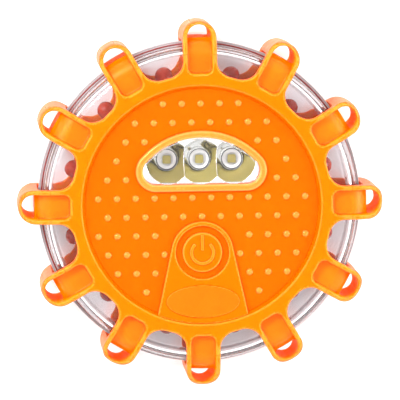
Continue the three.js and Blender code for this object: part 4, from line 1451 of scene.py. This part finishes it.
def spring_stops(length):
    """The middle line of a conical spring that ends in a flat part-turn at each end."""
    wide, narrow, turns, steps = 4.0, 1.9, 3.5, 40
    share = np.linspace(0, 1, int(turns * steps))
    angle = share * turns * 2 * math.pi
    reach = wide + (narrow - wide) * share
    rise = length * np.clip((share - 0.14) / 0.72, 0, 1)
    return np.stack([reach * np.cos(angle), rise, reach * np.sin(angle)], 1)


CONTACT_THICKNESS = 0.5
SPRING_WIRE = 0.35
BAY_END = TRAY_HALF[1] - GAP
CELL_START = BAY_END - CONTACT_THICKNESS - GAP - CELL_LENGTH


def dry_cell():
    """A cell along Z: a wrapped can with a steel button on top and a dished steel base."""
    can = CELL_LENGTH - 1
    cell = revolved("cell", [
        (0, 0.15), (3.6, 0.15), (4.2, 0), (CELL_RADIUS - 0.5, 0),
        *arc((CELL_RADIUS - 0.5, 0.5), 0.5, -60, 0, 4),
        *arc((CELL_RADIUS - 0.4, can - 0.4), 0.4, 0, 80, 4),
        (CELL_RADIUS - 0.9, can - 0.05), (3.4, can - 0.3), (2.2, can - 0.3), (1.9, can - 0.1),
        *arc((1.6, CELL_LENGTH - 0.3), 0.3, 0, 90, 4), (0, CELL_LENGTH)], 80)
    x, y, _ = face_middles(cell.data)
    paint(cell.data, np.hypot(x, y) < CELL_RADIUS - 0.45)
    return coloured(cell, wrap_film, steel)


def make_cells():
    """Three cells in series, so the middle one lies the other way round."""
    cell = dry_cell()
    spring = tube("spring", spring_stops(CELL_START + BAY_END - 2 * SPRING_WIRE), SPRING_WIRE, 10)
    coloured(spring, steel)
    plate_place = (0, BAY_END - CONTACT_THICKNESS / 2, 0)
    plate = soft_block("plate", (8, CONTACT_THICKNESS, 8), plate_place, 0.2, nickel)
    along_bay = shifted(0, CELL_START) @ Matrix.Rotation(-math.pi / 2, 4, "X")
    spring_start = shifted(0, SPRING_WIRE - BAY_END)
    for number in (1, 2, 3):
        turn = Matrix.Rotation(math.pi if number == 2 else 0, 4, "Z")
        bay = shifted((number - 2) * CELL_PITCH, 0, CELL_Z) @ turn
        placed(cell, f"dry_cell_{number}", bay @ along_bay, f"battery_cell_{number}")
        placed(spring, f"coil_spring_{number}", bay @ spring_start, f"cell_spring_{number}")
        placed(plate, f"contact_plate_{number}", bay, f"cell_contact_{number}")
    for first in (cell, spring, plate):
        bpy.data.objects.remove(first)


def make_leads():
    """Two slightly bowed wires from the tray to the board, each with a tinned core on top."""
    share = np.linspace(0, 1, 24)
    bow = 0.5 * np.sin(share * math.pi)
    for side, name, made in ((1, "red", red_wire), (-1, "black", black_wire)):
        x = side * LEAD_X
        node = "battery_lead_" + name
        low, high = edge(node, LOW, "z"), edge(node, HIGH, "z")
        stops = np.stack([x + 0 * share, LEAD_Y + bow, low + (high - low) * share], 1)
        lead = coloured(tube("lead_" + name, stops, WIRE_RADIUS, 20), made)
        core_heights = (high - 0.5, high + 0.5, BOARD_TOP + 0.4)
        core = tube("core", [(x, LEAD_Y, z) for z in core_heights], 0.32, 12)
        join(lead, [coloured(core, tin)])
        finish(lead, "housing", [], node)


def make_tray():
    """The CAD tray stays, with its edges rounded and a moulded finish."""
    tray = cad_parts["battery_tray"]
    bevel(tray, 0.25)
    tray.data.materials.clear()
    coloured(tray, tray_plastic)


make_bumper()
make_panel()
make_button()
make_torch()
make_housings()
make_seal()
make_side_leds()
make_back()
make_screws("door_bolt", "door_screw", DOOR_SCREW, DOOR_SCREWS)
make_screws("case_bolt", "housing_screw", HOUSING_SCREW, HOUSING_SCREWS)
make_board()
make_chip()
make_switch()
make_plunger()
make_tray()
make_cells()
make_leads()


# ---------------- floor, light and camera

FLOOR_HALF = 3000


def make_floor():
    """A pale sheet, just below the part so that the two never share a plane."""
    corners = [(x, y, 0) for x, y in rectangle(FLOOR_HALF, FLOOR_HALF)]
    floor = to_object("floor", corners, [(0, 1, 2, 3)])
    floor.location.z = -0.02 * MM
    paper = Finish("floor", (0.9, 0.9, 0.9), 0.8, Specular_IOR_Level=0.1,
                   Emission_Color=(1, 1, 1, 1), Emission_Strength=0.25)
    paper.tint((0.88, 0.88, 0.89), paper.noise(60, 3))
    paper.bump(paper.noise(0.8, 3), 0.01)
    coloured(floor, paper)


SKY_STRENGTH = 0.84
SKY_LEVELS = [                      # height of the direction, brightness
    (0.0, 1.3), (0.3, 1.6), (0.6, 2.0), (0.86, 1.7), (0.95, 1.2)]


def make_sky():
    """White studio walls and ceiling, with a brighter ring of softboxes above the object."""
    world = bpy.data.worlds.new("studio")
    bpy.context.scene.world = world
    world.use_nodes = True
    nodes, links = world.node_tree.nodes, world.node_tree.links
    where = nodes.new("ShaderNodeTexCoord")
    part = nodes.new("ShaderNodeSeparateXYZ")
    ramp = nodes.new("ShaderNodeValToRGB")
    links.new(where.outputs["Generated"], part.inputs[0])
    links.new(part.outputs["Z"], ramp.inputs[0])
    links.new(ramp.outputs[0], nodes["Background"].inputs["Color"])
    stops = ramp.color_ramp.elements
    stops.remove(stops[1])
    for i, (place, level) in enumerate(SKY_LEVELS):
        stop = stops[0] if i == 0 else stops.new(place)
        stop.position = place
        stop.color = (level, level, level, 1)
    nodes["Background"].inputs["Strength"].default_value = SKY_STRENGTH


def make_lamp(name, place, size, power):
    """A round softbox that looks at the part. place and size are in metres, power in watts."""
    light = bpy.data.lights.new(name, "AREA")
    light.shape = "DISK"
    light.size = size
    light.energy = power
    lamp = bpy.data.objects.new(name, light)
    lamp.location = place
    towards = Vector((0, 0, MIDDLE * MM)) - lamp.location
    lamp.rotation_euler = towards.to_track_quat("-Z", "Y").to_euler()
    bpy.context.collection.objects.link(lamp)


CAMERA_DISTANCE = 1.4               # metres
CAMERA_BACK = 4.9                   # degrees from straight above, towards 12 o'clock
CAMERA_LEFT = 3.0                   # degrees from straight above, towards 9 o'clock
CAMERA_ROLL = 0.7                   # degrees
CAMERA_AIM = (0.28, 0.19, MIDDLE)
PICTURE_WIDTH = 115.1               # millimetres across the picture at the object


def make_camera():
    """The photo's view: nearly straight down, from far enough away to look almost flat."""
    camera = bpy.data.cameras.new("camera")
    camera.sensor_width = 36
    camera.lens = camera.sensor_width * CAMERA_DISTANCE / (PICTURE_WIDTH * MM)
    viewer = bpy.data.objects.new("camera", camera)
    left, back = math.radians(CAMERA_LEFT), math.radians(CAMERA_BACK)
    away = Vector((-math.sin(left) * math.cos(back), math.sin(back), math.cos(left) * math.cos(back)))
    across = Vector((0, 1, 0)).cross(away).normalized()
    up = away.cross(across)
    roll = Matrix.Rotation(math.radians(-CAMERA_ROLL), 3, "Z")
    turn = Matrix((across, up, away)).transposed() @ roll
    place = Vector(CAMERA_AIM) * MM + away * CAMERA_DISTANCE
    viewer.matrix_world = Matrix.Translation(place) @ turn.to_4x4()
    bpy.context.collection.objects.link(viewer)
    bpy.context.scene.camera = viewer


make_floor()
make_sky()
make_lamp("key", (-0.45, 0.5, 0.8), size=0.2, power=5.5)
make_lamp("softbox_left", (-0.75, 0.35, 0.65), size=0.5, power=3.5)
make_lamp("softbox_right", (0.90, 0.1, 0.42), size=0.5, power=5.5)
make_camera()
bpy.context.scene.view_settings.view_transform = "Standard"
